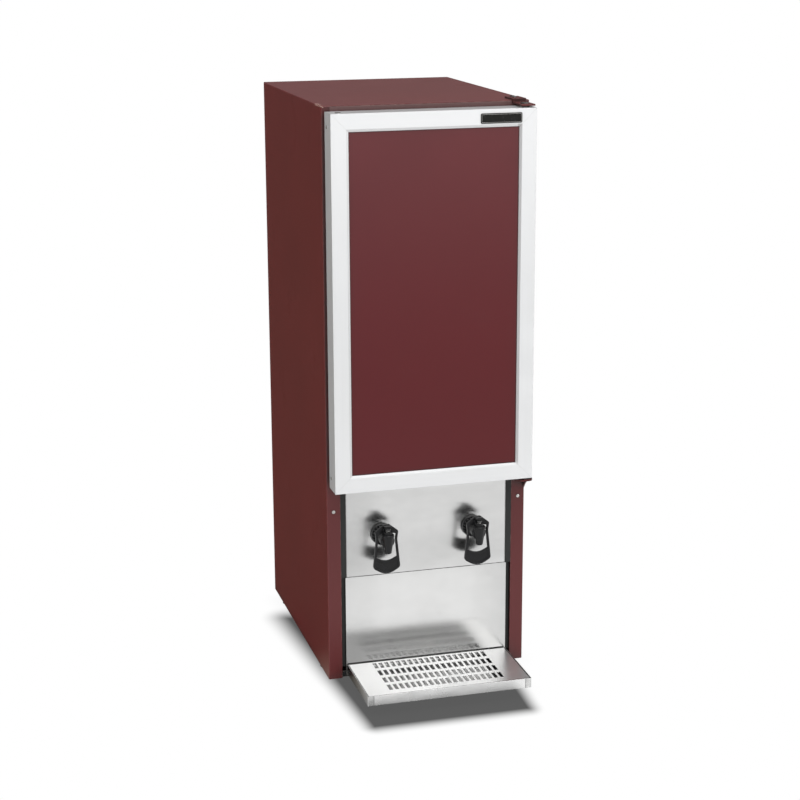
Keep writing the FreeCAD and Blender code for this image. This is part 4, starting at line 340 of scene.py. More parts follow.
def build_marks():
    """Soft smudges left by hands and cloths."""
    tree, start, end = new_group("Handling marks", {"Size": 0.05, "Spread": 0.5}, {"Mask": "Float"})
    place = object_place(tree)
    scale = number(tree, "DIVIDE", 1.0, start["Size"])
    small = noise(tree, product(tree, scale, 7.0), place, 4.0, 0.65)
    edge = minus(tree, 0.72, product(tree, start["Spread"], 0.3))
    island = remap(tree, minus(tree, noise(tree, scale, place), edge), 0.0, 1.0, 0.0, 0.14)
    feed(tree, end, Mask=product(tree, island, remap(tree, small, 0.2, 1.0, 0.35, 0.65)))


def build_edges():
    """Rubbed edges: where a rounded normal leaves the true one, broken up by noise."""
    tree, start, end = new_group("Edge wear", {"Width": 1.0 * MM, "Amount": 0.5}, {"Mask": "Float"})
    normal = add(tree, "ShaderNodeNewGeometry").outputs["Normal"]
    bent = remap(tree, dot(tree, rounded(tree, start["Width"]), normal), 1.0, 0.0, 0.80, 0.985)
    chips = patches(tree, 90.0, 5.0, 0.7, 0.0, 1.0, 0.44, 0.62)
    feed(tree, end, Mask=product(tree, bent, chips, start["Amount"]))


def build_dust():
    """Dust that settles on faces that look up."""
    tree, start, end = new_group("Settled dust", {"Amount": 0.3}, {"Mask": "Float"})
    normal = add(tree, "ShaderNodeNewGeometry").outputs["Normal"]
    lying = remap(tree, separate(tree, normal)["Z"], 0.0, 1.0, 0.35, 0.95)
    cloud = patches(tree, 26.0, 6.0, 0.7, 0.6, 1.0, 0.35, 0.7)
    feed(tree, end, Mask=product(tree, lying, cloud, start["Amount"]))


def build_grime_and_shade():
    """Painted shade, with some real dirt: darkens wherever another face stands close, by ambient
    occlusion, in joints, inner corners and gaps.
    """
    tree, start, end = new_group(
        "Joint grime", {"Reach": 2.5 * MM, "Amount": 0.7, "Full": 0.25}, {"Mask": "Float"})
    near = add(tree, "ShaderNodeAmbientOcclusion", {"Distance": start["Reach"]}, samples=6)
    closed = remap(tree, near.outputs["AO"], 1.0, 0.0, start["Full"], 0.95)
    patchy = patches(tree, 150.0, 4.0, 0.6, 0.7, 1.0, 0.35, 0.6)
    feed(tree, end, Mask=product(tree, closed, patchy, start["Amount"]))


def get_group(name):
    """The node group of that name, built on its first use."""
    if name not in bpy.data.node_groups:
        GROUP_BUILDERS[name]()
    return bpy.data.node_groups[name]


def effect(tree, name, **inputs):
    """Places a shared shader group in a material, with its values."""
    values = {key.title(): value for key, value in inputs.items()}
    return add(tree, "ShaderNodeGroup", values, node_tree=get_group(name)).outputs


def mask(tree, name, **inputs):
    return effect(tree, name, **inputs)["Mask"]


# -------------------------------------------------------------------- finishes
# Grey that a steel face is drawn towards at its sides and foot: painted shade
SHADE_GREY = (0.16, 0.16, 0.16)
# Pale grey-pink that the top rail's paint is drawn towards: a painted sheen
SHEEN_PAINT = Vector((0.17, 0.13, 0.125))


def new_finish(name, roughness, metallic=0.0, **constants):
    """A material's tree and its Principled shader, with constant values set on its sockets."""
    material = bpy.data.materials.new(name)
    material.use_nodes = True
    shader = material.node_tree.nodes["Principled BSDF"]
    for key, value in dict(constants, roughness=roughness, metallic=metallic).items():
        shader.inputs[key.replace("_", " ").title().replace("Ior", "IOR")].default_value = value
    return material.node_tree, shader.inputs


def bump(tree, height, depth, strength=1.0, over=None):
    """A normal raised by height times depth, in metres, over another one where it is given."""
    inputs = {"Height": height, "Distance": depth, "Strength": strength}
    if over is not None:
        inputs["Normal"] = over
    return add(tree, "ShaderNodeBump", inputs).outputs[0]


def powder_coat(
        name, colour, level=1.0, roughness=0.39, shine=0.42, painted_sheen=0.0, grime_and_shade_amount=0.95, deeper=None,
        chipped=None):
    """Satin powder coat: orange peel, a slow drift of tone, dust on top and rubbed edges. Painted shade
    turns it near-black in gaps and beside the door, where other faces stand close, and darkens the door's
    sheet towards its foot; a paler, greyer tone on the top rail is a painted sheen.
    """
    # Painted sheen: the colour drawn paler and greyer
    colour = Vector(colour).lerp(SHEEN_PAINT, painted_sheen)
    tree, shader = new_finish(name, roughness, specular_ior_level=shine)
    grain = effect(tree, "Fine grain", size=1.3 * MM)
    marks = mask(tree, "Handling marks", size=0.09, spread=0.35)
    drift = remap(tree, grain["Tone"], 0.0, 1.0, 0.3, 0.7)
    base = mix_colour(tree, drift, tint(colour, 0.95 * level), tint(colour, 1.06 * level))
    # Painted shade: the colour darkens towards the door's foot tone low down
    if deeper is not None:
        foot = remap(tree, axes(tree)["Z"], 1.0, 0.0, *deeper)
        base = mix_colour(tree, foot, base, finish_settings().door_foot)
    base = cover(
        tree, base,
        (mask(tree, "Edge wear", width=1.4 * MM, amount=0.75), (0.30, 0.17, 0.15)),
        (mask(tree, "Settled dust", amount=0.05), (0.52, 0.24, 0.22)),
        # Painted shade, with some real dirt: near-black where other faces stand within 26 mm, as beside
        # the door
        (mask(tree, "Joint grime", reach=26.0 * MM, amount=grime_and_shade_amount, full=0.5), (0.02, 0.012, 0.011)))
    if chipped is not None:
        flakes = patches(tree, 420.0, 3.0, 0.7, 0.0, 1.0, 0.54, 0.62)
        flakes = product(tree, flakes, box_mask(tree, *chipped))
        base = mix_colour(tree, flakes, base, (0.50, 0.38, 0.31))
    gloss = remap(tree, marks, roughness, roughness + 0.06)
    peel = bump(tree, grain["Height"], 0.05 * MM, 0.6, over=rounded(tree, 0.9 * MM))
    feed(tree, shader, Base_Color=base, Roughness=gloss, Normal=peel)


def satin_aluminium(name, colour, along):
    """Anodised extrusion: die lines along its length under a satin, nearly white film. Painted shade greys
    its stepped lip, more on the right, the sill at its foot, the faces that turn away from the front, and
    its joints.
    """
    tree, shader = new_finish(name, 0.34, 0.5, specular_ior_level=0.5)
    lines = effect(
        tree, "Brushed lines", along=tuple(along), line=0.5 * MM, tilt=0.05, round=0.7 * MM)
    marks = mask(tree, "Handling marks", size=0.07, spread=0.5)
    drift = remap(tree, lines["Tone"], 0.0, 1.0, 0.3, 0.7)
    lip, sill, mitre = frame_shade_and_mitres(tree)
    # Painted shade: the frame's faces that turn away from the front are greyed
    facing = separate(tree, add(tree, "ShaderNodeTexCoord").outputs["Normal"])
    returns = remap(tree, apart(tree, facing["Y"]), 0.48, 0.0, 0.35, 0.75)
    base = cover(
        tree, mix_colour(tree, drift, tint(colour, 0.99), tint(colour, 1.01)),
        (mask(tree, "Edge wear", width=0.8 * MM, amount=0.5), (0.9, 0.9, 0.9)),
        # Painted shade on the lip and the sill; the mitre lines are real joints
        (lip, (0.10, 0.08, 0.08)), (sill, (0.08, 0.08, 0.08)), (mitre, (0.20, 0.19, 0.18)),
        (returns, (0.10, 0.10, 0.10)),
        # Painted shade, with some real dirt, in the joints
        (mask(tree, "Joint grime", reach=5.0 * MM, amount=0.7, full=0.35), (0.24, 0.22, 0.21)))
    feed(tree, shader, Base_Color=base, Roughness=remap(tree, marks, 0.33, 0.47), Normal=lines["Normal"])


def frame_shade_and_mitres(tree):
    """Masks on the door frame: painted shade on its stepped lip, stronger on the right, and on the sill at
    its foot, and the real lines of its mitres.
    """
    low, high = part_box("door_stile_left")[0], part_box("door_stile_right")[1]
    middle = (low + high) / 2
    place = axes(tree)
    inset = [minus(tree, high[i] - middle[i], apart(tree, place[i], middle[i])) for i in (0, 2)]
    lip = remap(tree, number(tree, "MINIMUM", *inset), 0.0, 1.0, 22.6 * MM, 23.0 * MM)
    upper = product(tree, lip, remap(tree, place["Z"], 0.0, 1.0, low.z + 24.0 * MM, low.z + 30.0 * MM))
    sill = product(tree, minus(tree, lip, upper), 0.2)
    shade = remap(tree, place["X"], 0.18, 0.46, high.x - 30.0 * MM, high.x - 29.0 * MM)
    mitre = remap(tree, apart(tree, *inset), 0.16, 0.0, 0.2 * MM, 0.7 * MM)
    return product(tree, upper, shade), sill, mitre


def brushed_steel(
        name, colour, along=ACROSS, roughness=0.18, anisotropic=0.78, level=1.0, clouds=0.0,
        side_shade=None, foot_shade=None, basin=None, plate=None):
    """Steel brushed along one direction: fine lines and cloudy polish. Painted shade greys its sides, its
    foot and its joints; in a basin a dark film that is part dried wine and part painted shade; on a grille
    a darker look in mirrors that is a painted reflection.
    """
    tree, shader = new_finish(name, roughness, 1.0, anisotropic=anisotropic)
    lines = effect(tree, "Brushed lines", along=tuple(along), line=0.42 * MM, tilt=0.08)
    marks = mask(tree, "Handling marks", size=0.07, spread=0.7)
    grain = effect(tree, "Fine grain", size=0.5 * MM)
    place = axes(tree)
    polish = remap(tree, lines["Tone"], 0.0, 1.0, 0.32, 0.68)
    base = mix_colour(tree, polish, tint(colour, 0.994 * level), tint(colour, 1.006 * level))
    base = mix_colour(tree, marks, base, tint(colour, 0.96 * level))
    if clouds:
        stretched = vector(tree, "MULTIPLY", object_place(tree), (0.45, 1.0, 1.0))
        drift = remap(tree, noise(tree, 34.0, stretched, 3.0, 0.6), 0.0, 1.0, 0.36, 0.62)
        base = mix_colour(tree, drift, tint(colour, level * (1.0 - clouds)), base)
    # Painted shade: greyer towards both sides
    if side_shade is not None:
        left = remap(tree, place["X"], side_shade[0], 0.0, -0.131, -0.070)
        right = remap(tree, place["X"], 0.0, side_shade[1], 0.070, 0.131)
        base = mix_colour(tree, number(tree, "ADD", left, right), base, SHADE_GREY)
    # Painted shade: greyer towards the foot
    if foot_shade is not None:
        base = mix_colour(tree, remap(tree, place["Z"], 0.16, 0.0, *foot_shade), base, SHADE_GREY)
    cloud = remap(tree, grain["Tone"], -0.015, 0.03, 0.3, 0.7)
    wiped = remap(tree, marks, roughness, roughness + 0.035)
    dull = number(tree, "ADD", cloud, wiped, use_clamp=True)
    # Painted shade and dried wine: the basin floor darkens nearly to black
    if basin is not None:
        shaded_basin = box_mask(tree, *basin)
        patchy = product(tree, grain["Tone"], 0.5)
        depth = minus(tree, basin_shade_and_film(tree, *basin), patchy, use_clamp=True)
        film = mix_colour(tree, depth, tint(colour, 0.75), tint(colour, 0.03))
        base = cover(tree, base, (shaded_basin, film), (corner_seams_and_flank_shade(tree), tint(colour, 0.35)))
        dull = number(tree, "ADD", dull, product(tree, shaded_basin, 0.2), use_clamp=True)
    if plate is not None:
        # Painted shade, with some real dirt: a near-black line round the plate's edge
        rim = minus(tree, 1.0, box_mask(tree, *plate, soft=0.3 * MM))
        # Painted reflection: seen in mirrors, the grille is drawn towards black except near its right end
        mirrored = add(tree, "ShaderNodeLightPath").outputs["Is Glossy Ray"]
        darker_in_mirrors = remap(tree, place["X"], 0.60, 0.0, plate[1][0] * 0.66, plate[1][0] * 0.84)
        border = remap(tree, place["X"], 0.05, 0.0, plate[0][0] * 0.80, plate[0][0] * 0.66)
        darker_in_mirrors = product(tree, mirrored, number(tree, "ADD", darker_in_mirrors, border))
        base = cover(tree, base, (rim, tint(colour, 0.05)), (darker_in_mirrors, BLACK))
    # Painted shade, with some real dirt: darker where other faces stand within a few millimetres
    grime_and_shade = mask(tree, "Joint grime", reach=2.4 * MM, amount=0.9, full=0.5)
    base = mix_colour(tree, grime_and_shade, base, tint(colour, 0.10))
    smear = combine(tree, *(1.0 - part for part in along))
    feed(tree, shader, Base_Color=base, Roughness=dull, Normal=lines["Normal"], Tangent=smear)


def box_mask(tree, low, high, soft=1.0 * MM):
    """One inside the box low to high, in object coordinates, with a soft edge."""
    place = axes(tree)
    rising = [remap(tree, place[i], 0.0, 1.0, low[i], low[i] + soft) for i in range(3)]
    falling = [remap(tree, place[i], 1.0, 0.0, high[i] - soft, high[i]) for i in range(3)]
    return product(tree, *rising, *falling)


def basin_shade_and_film(tree, low, high):
    """Depth of the dark film in a basin, part dried wine and part painted shade: full on the right, less
    in front and up the back wall.
    """
    place = axes(tree)
    wide, deep = high[0] - low[0], high[1] - low[1]
    right = remap(tree, place["X"], 0.0, 1.0, low[0] + wide * 0.70, low[0] + wide * 0.80)
    wall = remap(tree, place["Y"], 0.0, 1.0, low[1] + deep * 0.90, low[1] + deep * 0.93)
    above = remap(tree, place["Z"], 0.0, 1.0, low[2] + 4.0 * MM, low[2] + 8.0 * MM)
    front = remap(tree, place["Y"], 1.0, 0.0, low[1] + deep * 0.46, low[1] + deep * 0.70)
    thin = number(tree, "ADD", product(tree, wall, above, 1.4), product(tree, front, 0.6))
    return minus(tree, 1.0, product(tree, thin, minus(tree, 1.0, right)), use_clamp=True)


def corner_seams_and_flank_shade(tree):
    """Closed corners of the tray: a stained patch and a thin seam in front, and painted shade on its side
    walls.
    """
    low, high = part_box("drip_tray")
    place = axes(tree)
    inset = minus(tree, high.x, apart(tree, place["X"]))
    patch = remap(tree, inset, 0.62, 0.0, 9.0 * MM, 10.5 * MM)
    line = remap(tree, apart(tree, inset, 9.6 * MM), 0.9, 0.0, 0.3 * MM, 0.9 * MM)
    mottled = patches(tree, 260.0, 4.0, 0.7, 0.35, 1.0, 0.35, 0.65)
    shown = number(tree, "MAXIMUM", product(tree, patch, mottled), line)
    outside = remap(tree, place["Y"], 1.0, 0.0, low.y + 0.3 * MM, low.y + 0.8 * MM)
    # Painted shade: the tray's side walls are darkened
    flank_shade = remap(tree, inset, 0.7, 0.0, 0.3 * MM, 0.8 * MM)
    return number(tree, "MAXIMUM", product(tree, shown, outside), flank_shade)


def moulded_plastic(
        name, colour, roughness, level=1.0, mottle=0.12, grain_size=0.5 * MM, wear=0.0, shine=0.45,
        rounding=0.5 * MM):
    """Injection-moulded plastic: fine texture, uneven gloss, paler where it is rubbed."""
    colour = tint(colour, level)
    tree, shader = new_finish(name, roughness, specular_ior_level=shine)
    grain = effect(tree, "Fine grain", size=grain_size)
    marks = mask(tree, "Handling marks", size=0.03, spread=0.6)
    drift = remap(tree, grain["Tone"], 0.0, 1.0, 0.3, 0.7)
    base = mix_colour(tree, drift, tint(colour, 1.0 - mottle), tint(colour, 1.0 + mottle))
    pale = tuple(part * 0.7 + 0.12 for part in colour)
    base = mix_colour(tree, mask(tree, "Edge wear", width=0.6 * MM, amount=wear), base, pale)
    gloss = remap(tree, marks, roughness, roughness + 0.16)
    texture = bump(tree, grain["Height"], 0.02 * MM, 0.8, over=rounded(tree, rounding))
    feed(tree, shader, Base_Color=base, Roughness=gloss, Normal=texture)


def worn_finish(
        name, tones, roughness, size, depth, over, worn, dull, metallic=0.0, drift=None, **constants):
    """Two tones over a fine grain, and a third colour and roughness where a mask is one."""
    tree, shader = new_finish(name, roughness, metallic, **constants)
    grain = effect(tree, "Fine grain", size=size)
    tone = remap(tree, grain["Tone"], 0.0, 1.0, *drift) if drift else grain["Tone"]
    shown = over(tree)
    feed(
        tree, shader, Base_Color=mix_colour(tree, shown, mix_colour(tree, tone, *tones), worn),
        Normal=bump(tree, grain["Height"], depth))
    if dull is not None:
        feed(tree, shader, Roughness=remap(tree, shown, *dull))


def smudged(size, spread):
    return lambda tree: mask(tree, "Handling marks", size=size, spread=spread)


def dusted(amount):
    return lambda tree: mask(tree, "Settled dust", amount=amount)


def clogged(tree):
    """Lint caught between the fins."""
    return patches(tree, 70.0, 6.0, 0.7, 0.0, 0.75, 0.46, 0.66)


def zinc_plate(name, colour, level=1.25):
    """Bright zinc plating on wire and screws, a little clouded."""
    worn_finish(
        name, (tint(colour, 0.9 * level), tint(colour, 1.1 * level)), 0.28, 0.35 * MM, 0.012 * MM,
        smudged(0.02, 0.6), tint(colour, 0.8 * level), (0.24, 0.42), metallic=1.0)


def drawn_copper(name, colour):
    """Copper tube, dulled to brown in patches."""
    worn_finish(
        name, (tint(colour, 0.85), tint(colour, 1.1)), 0.28, 0.6 * MM, 0.015 * MM,
        smudged(0.02, 0.9), (0.30, 0.13, 0.07), (0.24, 0.55), metallic=1.0)


def fin_stock(name, colour):
    """Bare fin aluminium with dust caught between the fins."""
    worn_finish(
        name, (tint(colour, 0.8), tint(colour, 1.0)), 0.42, 0.9 * MM, 0.02 * MM,
        clogged, (0.22, 0.20, 0.18), (0.38, 0.85), metallic=0.9)


def badge_face(name, colour):
    """Gloss black enamel of the bare plate on the door."""
    worn_finish(
        name, (colour, (0.007, 0.007, 0.006)), 0.22, 1.0 * MM, 0.01 * MM,
        smudged(0.012, 0.7), (0.012, 0.012, 0.012), (0.2, 0.34), specular_ior_level=0.16)


def soft_rubber(name, colour):
    """Moulded rubber: matt, slightly bloomed and dusty."""
    worn_finish(
        name, (tint(colour), tint(colour, 1.9)), 0.72, 0.8 * MM, 0.05 * MM,
        dusted(0.5), (0.2, 0.19, 0.18), None, drift=(0.35, 0.7), specular_ior_level=0.35)


def black_enamel(name, colour):
    """Semi-gloss enamel of the machine parts, with brush-out ripple and dust."""
    tree, shader = new_finish(
        name, 0.30, specular_ior_level=0.5, coat_weight=0.25, coat_roughness=0.25)
    grain = effect(tree, "Fine grain", size=2.2 * MM)
    dust = mask(tree, "Settled dust", amount=0.6)
    edges = mask(tree, "Edge wear", width=1.0 * MM, amount=0.5)
    base = cover(
        tree, mix_colour(tree, edges, colour, (0.16, 0.15, 0.14)), (dust, (0.24, 0.22, 0.20)))
    ripple = bump(tree, grain["Height"], 0.10 * MM)
    feed(tree, shader, Base_Color=base, Roughness=remap(tree, dust, 0.28, 0.7), Normal=ripple)


def rigid_foam(name, colour):
    """Cut polyurethane foam: open cells and a yellowed face."""
    tree, shader = new_finish(name, 0.92, specular_ior_level=0.2)
    cells = add(
        tree, "ShaderNodeTexVoronoi", {"Vector": object_place(tree), "Scale": 620.0},
        feature="DISTANCE_TO_EDGE").outputs["Distance"]
    wall = remap(tree, cells, 1.0, 0.0, 0.02, 0.22)
    tone = effect(tree, "Fine grain", size=0.7 * MM)["Tone"]
    base = mix_colour(tree, tone, tint(colour, 0.82), tint(colour, 1.12))
    base = mix_colour(tree, wall, base, tint(colour, 1.25))
    feed(tree, shader, Base_Color=base, Normal=bump(tree, wall, 0.4 * MM))


def spangled_zinc(name, colour):
    """Hot-dipped sheet with its spangle."""
    tree, shader = new_finish(name, 0.45, 0.9)
    place = object_place(tree)
    frayed = add(tree, "ShaderNodeTexNoise", {"Vector": place, "Scale": 240.0, "Detail": 3.0})
    torn = vector(tree, "ADD", place, scaled(tree, frayed.outputs["Color"], 5.0 * MM))
    cells = add(tree, "ShaderNodeTexVoronoi", {"Vector": torn, "Scale": 95.0, "Randomness": 1.0})
    shade = add(tree, "ShaderNodeSeparateColor", {0: cells.outputs["Color"]}).outputs[0]
    dust = mask(tree, "Settled dust", amount=0.5)
    grain = effect(tree, "Fine grain", size=0.6 * MM)
    base = mix_colour(tree, shade, tint(colour, 0.62), tint(colour, 0.92))
    base = mix_colour(tree, dust, base, (0.33, 0.31, 0.28))
    rough = remap(tree, shade, 0.30, 0.60)
    feed(tree, shader, Base_Color=base, Roughness=rough, Normal=bump(tree, grain["Height"], 0.02 * MM))


def cold_plate(name, colour):
    """Roll-bonded aluminium plate with a light bloom of frost."""
    tree, shader = new_finish(name, 0.38, 0.85)
    lines = effect(tree, "Brushed lines", along=tuple(UPWARD), line=0.8 * MM, tilt=0.12)
    frost = patches(tree, 160.0, 8.0, 0.75, 0.0, 1.0, 0.5, 0.72)
    base = mix_colour(tree, lines["Tone"], tint(colour, 0.86), tint(colour, 0.98))
    base = mix_colour(tree, frost, base, (0.93, 0.95, 0.97))
    feed(tree, shader, Base_Color=base, Roughness=remap(tree, frost, 0.34, 0.7), Normal=lines["Normal"])


def wine_hose(name, colour):
    """Clear hose filled with red wine: a milky wall over a dark core."""
    wine = finish_settings().wine
    tree, shader = new_finish(
        name, 0.22, specular_ior_level=0.5, subsurface_weight=0.15, subsurface_scale=2.0 * MM,
        coat_weight=0.3)
    grain = effect(tree, "Fine grain", size=1.5 * MM)
    rim = add(tree, "ShaderNodeLayerWeight", {"Blend": 0.35}).outputs["Facing"]
    base = mix_colour(tree, remap(tree, rim, 0.12, 0.85, 0.25, 0.95), wine, colour)
    base = mix_colour(tree, remap(tree, grain["Tone"], 0.0, 0.3, 0.4, 0.7), base, tint(wine, 1.6))
    feed(tree, shader, Base_Color=base, Normal=bump(tree, grain["Height"], 0.02 * MM))


def inner_box(node, wall):
    """The box of a CAD node, drawn in on every side by a wall in millimetres."""
    low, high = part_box(node)
    return tuple(low + Vector(wall) * MM), tuple(high - Vector(wall) * MM)


def chipped_corner():
    """The box at the shell's left front top corner where its paint is chipped."""
    low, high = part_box("outer_shell")
    corner = Vector((low.x, low.y, high.z))
    return tuple(corner - Vector((1.0, 2.0, 3.0)) * MM), tuple(corner + Vector((6.0, 42.0, 1.5)) * MM)


def heights(node, start=0.0, stop=1.0):
    """Two heights of a CAD node, as shares of the way up."""
    low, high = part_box(node)
    return low.z + (high.z - low.z) * start, low.z + (high.z - low.z) * stop


# Each finish: how it is made, which picked colour it takes, and its values
FINISHES = {
    "powder_coat_shell": (powder_coat, "paint", {"chipped": chipped_corner()}),
    # Top rail: a painted sheen makes it paler and greyer, and it takes less painted shade
    "powder_coat_rail": (powder_coat, "paint", {"painted_sheen": 0.35, "grime_and_shade_amount": 0.4}),
    # Door sheet: painted shade towards its foot
    "powder_coat_door": (
        powder_coat, "door_paint", {"roughness": 0.28, "deeper": heights("door_panel")}),
    # Hinge brackets: a darker, less shiny copy of the cabinet paint, which is painted shade
    "powder_coat_bracket": (powder_coat, "paint", {"level": 0.66, "shine": 0.2}),
    "aluminium_upright": (satin_aluminium, "aluminium", {"along": UPWARD}),
    "aluminium_cross": (satin_aluminium, "aluminium", {"along": ACROSS}),
    # The steel pieces differ mostly in level: brighter and darker copies of one steel, which is painted
    # light
    "tap_panel_steel": (brushed_steel, "steel", {
        "along": UPWARD, "roughness": 0.20, "level": 1.155, "clouds": 0.05, "side_shade": (0.20, 0.0),
        "foot_shade": heights("tap_panel", 0.12, 0.5)}),
    "splash_steel": (brushed_steel, "steel", {
        "along": UPWARD, "level": 1.04, "clouds": 0.03, "side_shade": (0.12, 0.20)}),
    "tray_steel": (brushed_steel, "steel", {
        "roughness": 0.26, "anisotropic": 0.6, "level": 1.19, "clouds": 0.16,
        "basin": inner_box("drip_tray", (2.2, 2.2, 1.3))}),
    "grille_steel": (brushed_steel, "steel", {
        "roughness": 0.34, "anisotropic": 0.6, "level": 1.26,
        "plate": inner_box("drip_grille", (0.8, 0.8, -2.0))}),
    "tap_moulding": (moulded_plastic, "moulding", {"roughness": 0.24, "wear": 0.3, "shine": 0.22}),
    "lever_moulding": (moulded_plastic, "moulding", {
        "roughness": 0.26, "wear": 0.3, "grain_size": 0.9 * MM, "shine": 0.23, "rounding": 0.9 * MM}),
    "stem_nylon": (moulded_plastic, "nylon", {"roughness": 0.42}),
    "nylon": (moulded_plastic, "trim", {"roughness": 0.45}),
    "trim_plastic": (moulded_plastic, "trim", {"roughness": 0.5, "wear": 0.3, "shine": 0.3}),
    "liner_plastic": (moulded_plastic, "liner", {"roughness": 0.32, "mottle": 0.03}),
    "door_liner_plastic": (moulded_plastic, "liner", {"roughness": 0.36, "level": 0.66, "mottle": 0.015}),
    "zinc_plate": (zinc_plate, "zinc", {}),
    "pin_steel": (zinc_plate, "zinc", {}),
    "badge_line": (zinc_plate, "zinc", {"level": 1.2}),
    "screw_plating": (zinc_plate, "zinc", {"level": 1.3}),
    "dark_plating": (zinc_plate, "zinc", {"level": 0.3}),
    "door_plating": (zinc_plate, "zinc", {"level": 1.0}),
    "spangled_zinc": (spangled_zinc, "zinc", {}),
    "cold_plate": (cold_plate, "aluminium", {}),
    "fin_stock": (fin_stock, "aluminium", {}),
    "drawn_copper": (drawn_copper, "copper", {}),
    "black_enamel": (black_enamel, "enamel", {}),
    "soft_rubber": (soft_rubber, "rubber", {}),
    "gasket_vinyl": (soft_rubber, "rubber", {}),
    "rigid_foam": (rigid_foam, "foam", {}),
    "badge_face": (badge_face, "badge", {}),
    "wine_hose": (wine_hose, "hose", {}),
}


def finish(name):
    """The material of that name, made on its first use."""
    if name not in bpy.data.materials:
        builder, colour, values = FINISHES[name]
        builder(name, tuple(getattr(finish_settings(), colour)), **values)
    return bpy.data.materials[name]


def dress(**coats):
    """Gives CAD pieces, listed in one text for each finish, that finish through their slots."""
    for name, nodes in coats.items():
        for node in nodes.split():
            for slot in frame["nodes"][node].material_slots:
                slot.material = finish(name)


# ---------------------------------------------------------------- mesh helpers
def new_piece(name, geometry, *finishes, turned_out=True):
    """An object at the origin from a bmesh or a mesh; turned_out makes a bmesh's faces look outward."""
    if isinstance(geometry, bmesh.types.BMesh):
        mesh = bpy.data.meshes.new(name)
        if turned_out:
            bmesh.ops.recalc_face_normals(geometry, faces=geometry.faces)
        geometry.to_mesh(mesh)
        geometry.free()
    else:
        mesh = geometry
        mesh.name = name
        mesh.materials.clear()
    piece = bpy.data.objects.new(name, mesh)
    bpy.context.scene.collection.objects.link(piece)
    for label in finishes:
        mesh.materials.append(finish(label))
    return piece


def bridge(shape, loops):
    """Closed skin over a row of loops of equal length; returns the faces of each band."""
    verts = [[shape.verts.new(point) for point in loop] for loop in loops]
    bands = []
    for near, far in zip(verts, verts[1:]):
        corners = zip(near, near[1:] + near[:1], far[1:] + far[:1], far)
        bands.append([shape.faces.new(four) for four in corners])
    shape.faces.new(verts[0][::-1])
    shape.faces.new(verts[-1])
    return bands


def ring(count, radius, centre, first, second, start=0.0, stop=math.tau):
    """Points of an arc in the plane of two directions."""
    step = (stop - start) / (count if stop - start == math.tau else count - 1)
    return [
        centre + first * (radius * math.cos(start + step * i))
        + second * (radius * math.sin(start + step * i)) for i in range(count)]


def solids_of(node):
    """The separate solids of a CAD node, each as a list of points."""
    shape = bmesh.new()
    shape.from_mesh(frame["nodes"][node].data)
    bmesh.ops.remove_doubles(shape, verts=shape.verts, dist=0.01 * MM)
    left = set(shape.verts)
    groups = []
    while left:
        queue = [left.pop()]
        found = []
        while queue:
            point = queue.pop()
            found.append(point.co.copy())
            for edge in point.link_edges:
                other = edge.other_vert(point)
                if other in left:
                    left.remove(other)
                    queue.append(other)
        groups.append(found)
    shape.free()
    return groups


def measure_screw(points):
    """Centre of a screw's outer face, its direction and its four sizes, from its points."""
    low = Vector([min(point[i] for point in points) for i in range(3)])
    high = Vector([max(point[i] for point in points) for i in range(3)])
    size = high - low
    middle = (low + high) / 2
    axis = min(range(3), key=lambda i: abs(size[i - 1] - size[i - 2]))
    reach = [
        (point[axis], Vector([point[i] - middle[i] for i in range(3) if i != axis]).length)
        for point in points]
    widest = max(away for _, away in reach)
    rim = [along for along, away in reach if away > widest * 0.97]
    height = max(rim) - min(rim)
    shank = [away for along, away in reach if not min(rim) - 0.01 * MM < along < max(rim) + 0.01 * MM]
    facing = Vector((0.0, 0.0, 0.0))
    facing[axis] = 1.0 if max(rim) > high[axis] - 0.01 * MM else -1.0
    centre = middle.copy()
    centre[axis] = high[axis] if facing[axis] > 0 else low[axis]
    sizes = (widest, height, max(shank, default=0.0), size[axis] - height)
    return centre, facing, tuple(round(value, 5) for value in sizes)


# -------------------------------------------------------- geometry node helpers
def run_tree(name, host, group, values, finish_name):
    """Runs a geometry tree on a host mesh and returns its result as a plain piece."""
    modifier = host.modifiers.new("Build", "NODES")
    modifier.node_group = get_group(group)
    sockets = {
        item.name: item.identifier for item in modifier.node_group.interface.items_tree
        if item.item_type == "SOCKET" and item.in_out == "INPUT"}
    for label, value in {**values, "Finish": finish(finish_name)}.items():
        modifier[sockets[label]] = value
    bpy.context.view_layer.update()
    held = host.evaluated_get(bpy.context.evaluated_depsgraph_get())
    mesh = bpy.data.meshes.new_from_object(held)
    host.modifiers.remove(modifier)
    bpy.data.objects.remove(host)
    return new_piece(name, mesh, finish_name)


def point_host(places, directions=()):
    """A mesh of loose points, with the direction that each one faces."""
    mesh = bpy.data.meshes.new("points")
    mesh.from_pydata([tuple(place) for place in places], [], [])
    if directions:
        facing = mesh.attributes.new("facing", "FLOAT_VECTOR", "POINT")
        for index, direction in enumerate(directions):
            facing.data[index].vector = direction
    host = bpy.data.objects.new("points", mesh)
    bpy.context.scene.collection.objects.link(host)
    return host


def open_tree(name, inputs):
    """Starts a tree that works on points."""
    return new_group(
        name, {"Points": "Geometry", **inputs, "Finish": "Material"}, {"Geometry": "Geometry"},
        "GeometryNodeTree")


def scatter(tree, points, shape, **more):
    """A copy of the shape on every point."""
    inputs = {"Points": points, "Instance": shape, **more}
    return add(tree, "GeometryNodeInstanceOnPoints", inputs).outputs[0]


def aim(tree, arrow, axis, **settings):
    """A rotation that turns an axis to a direction."""
    made = add(tree, "FunctionNodeAlignRotationToVector", {"Vector": arrow}, axis=axis, **settings)
    return made.outputs[0]


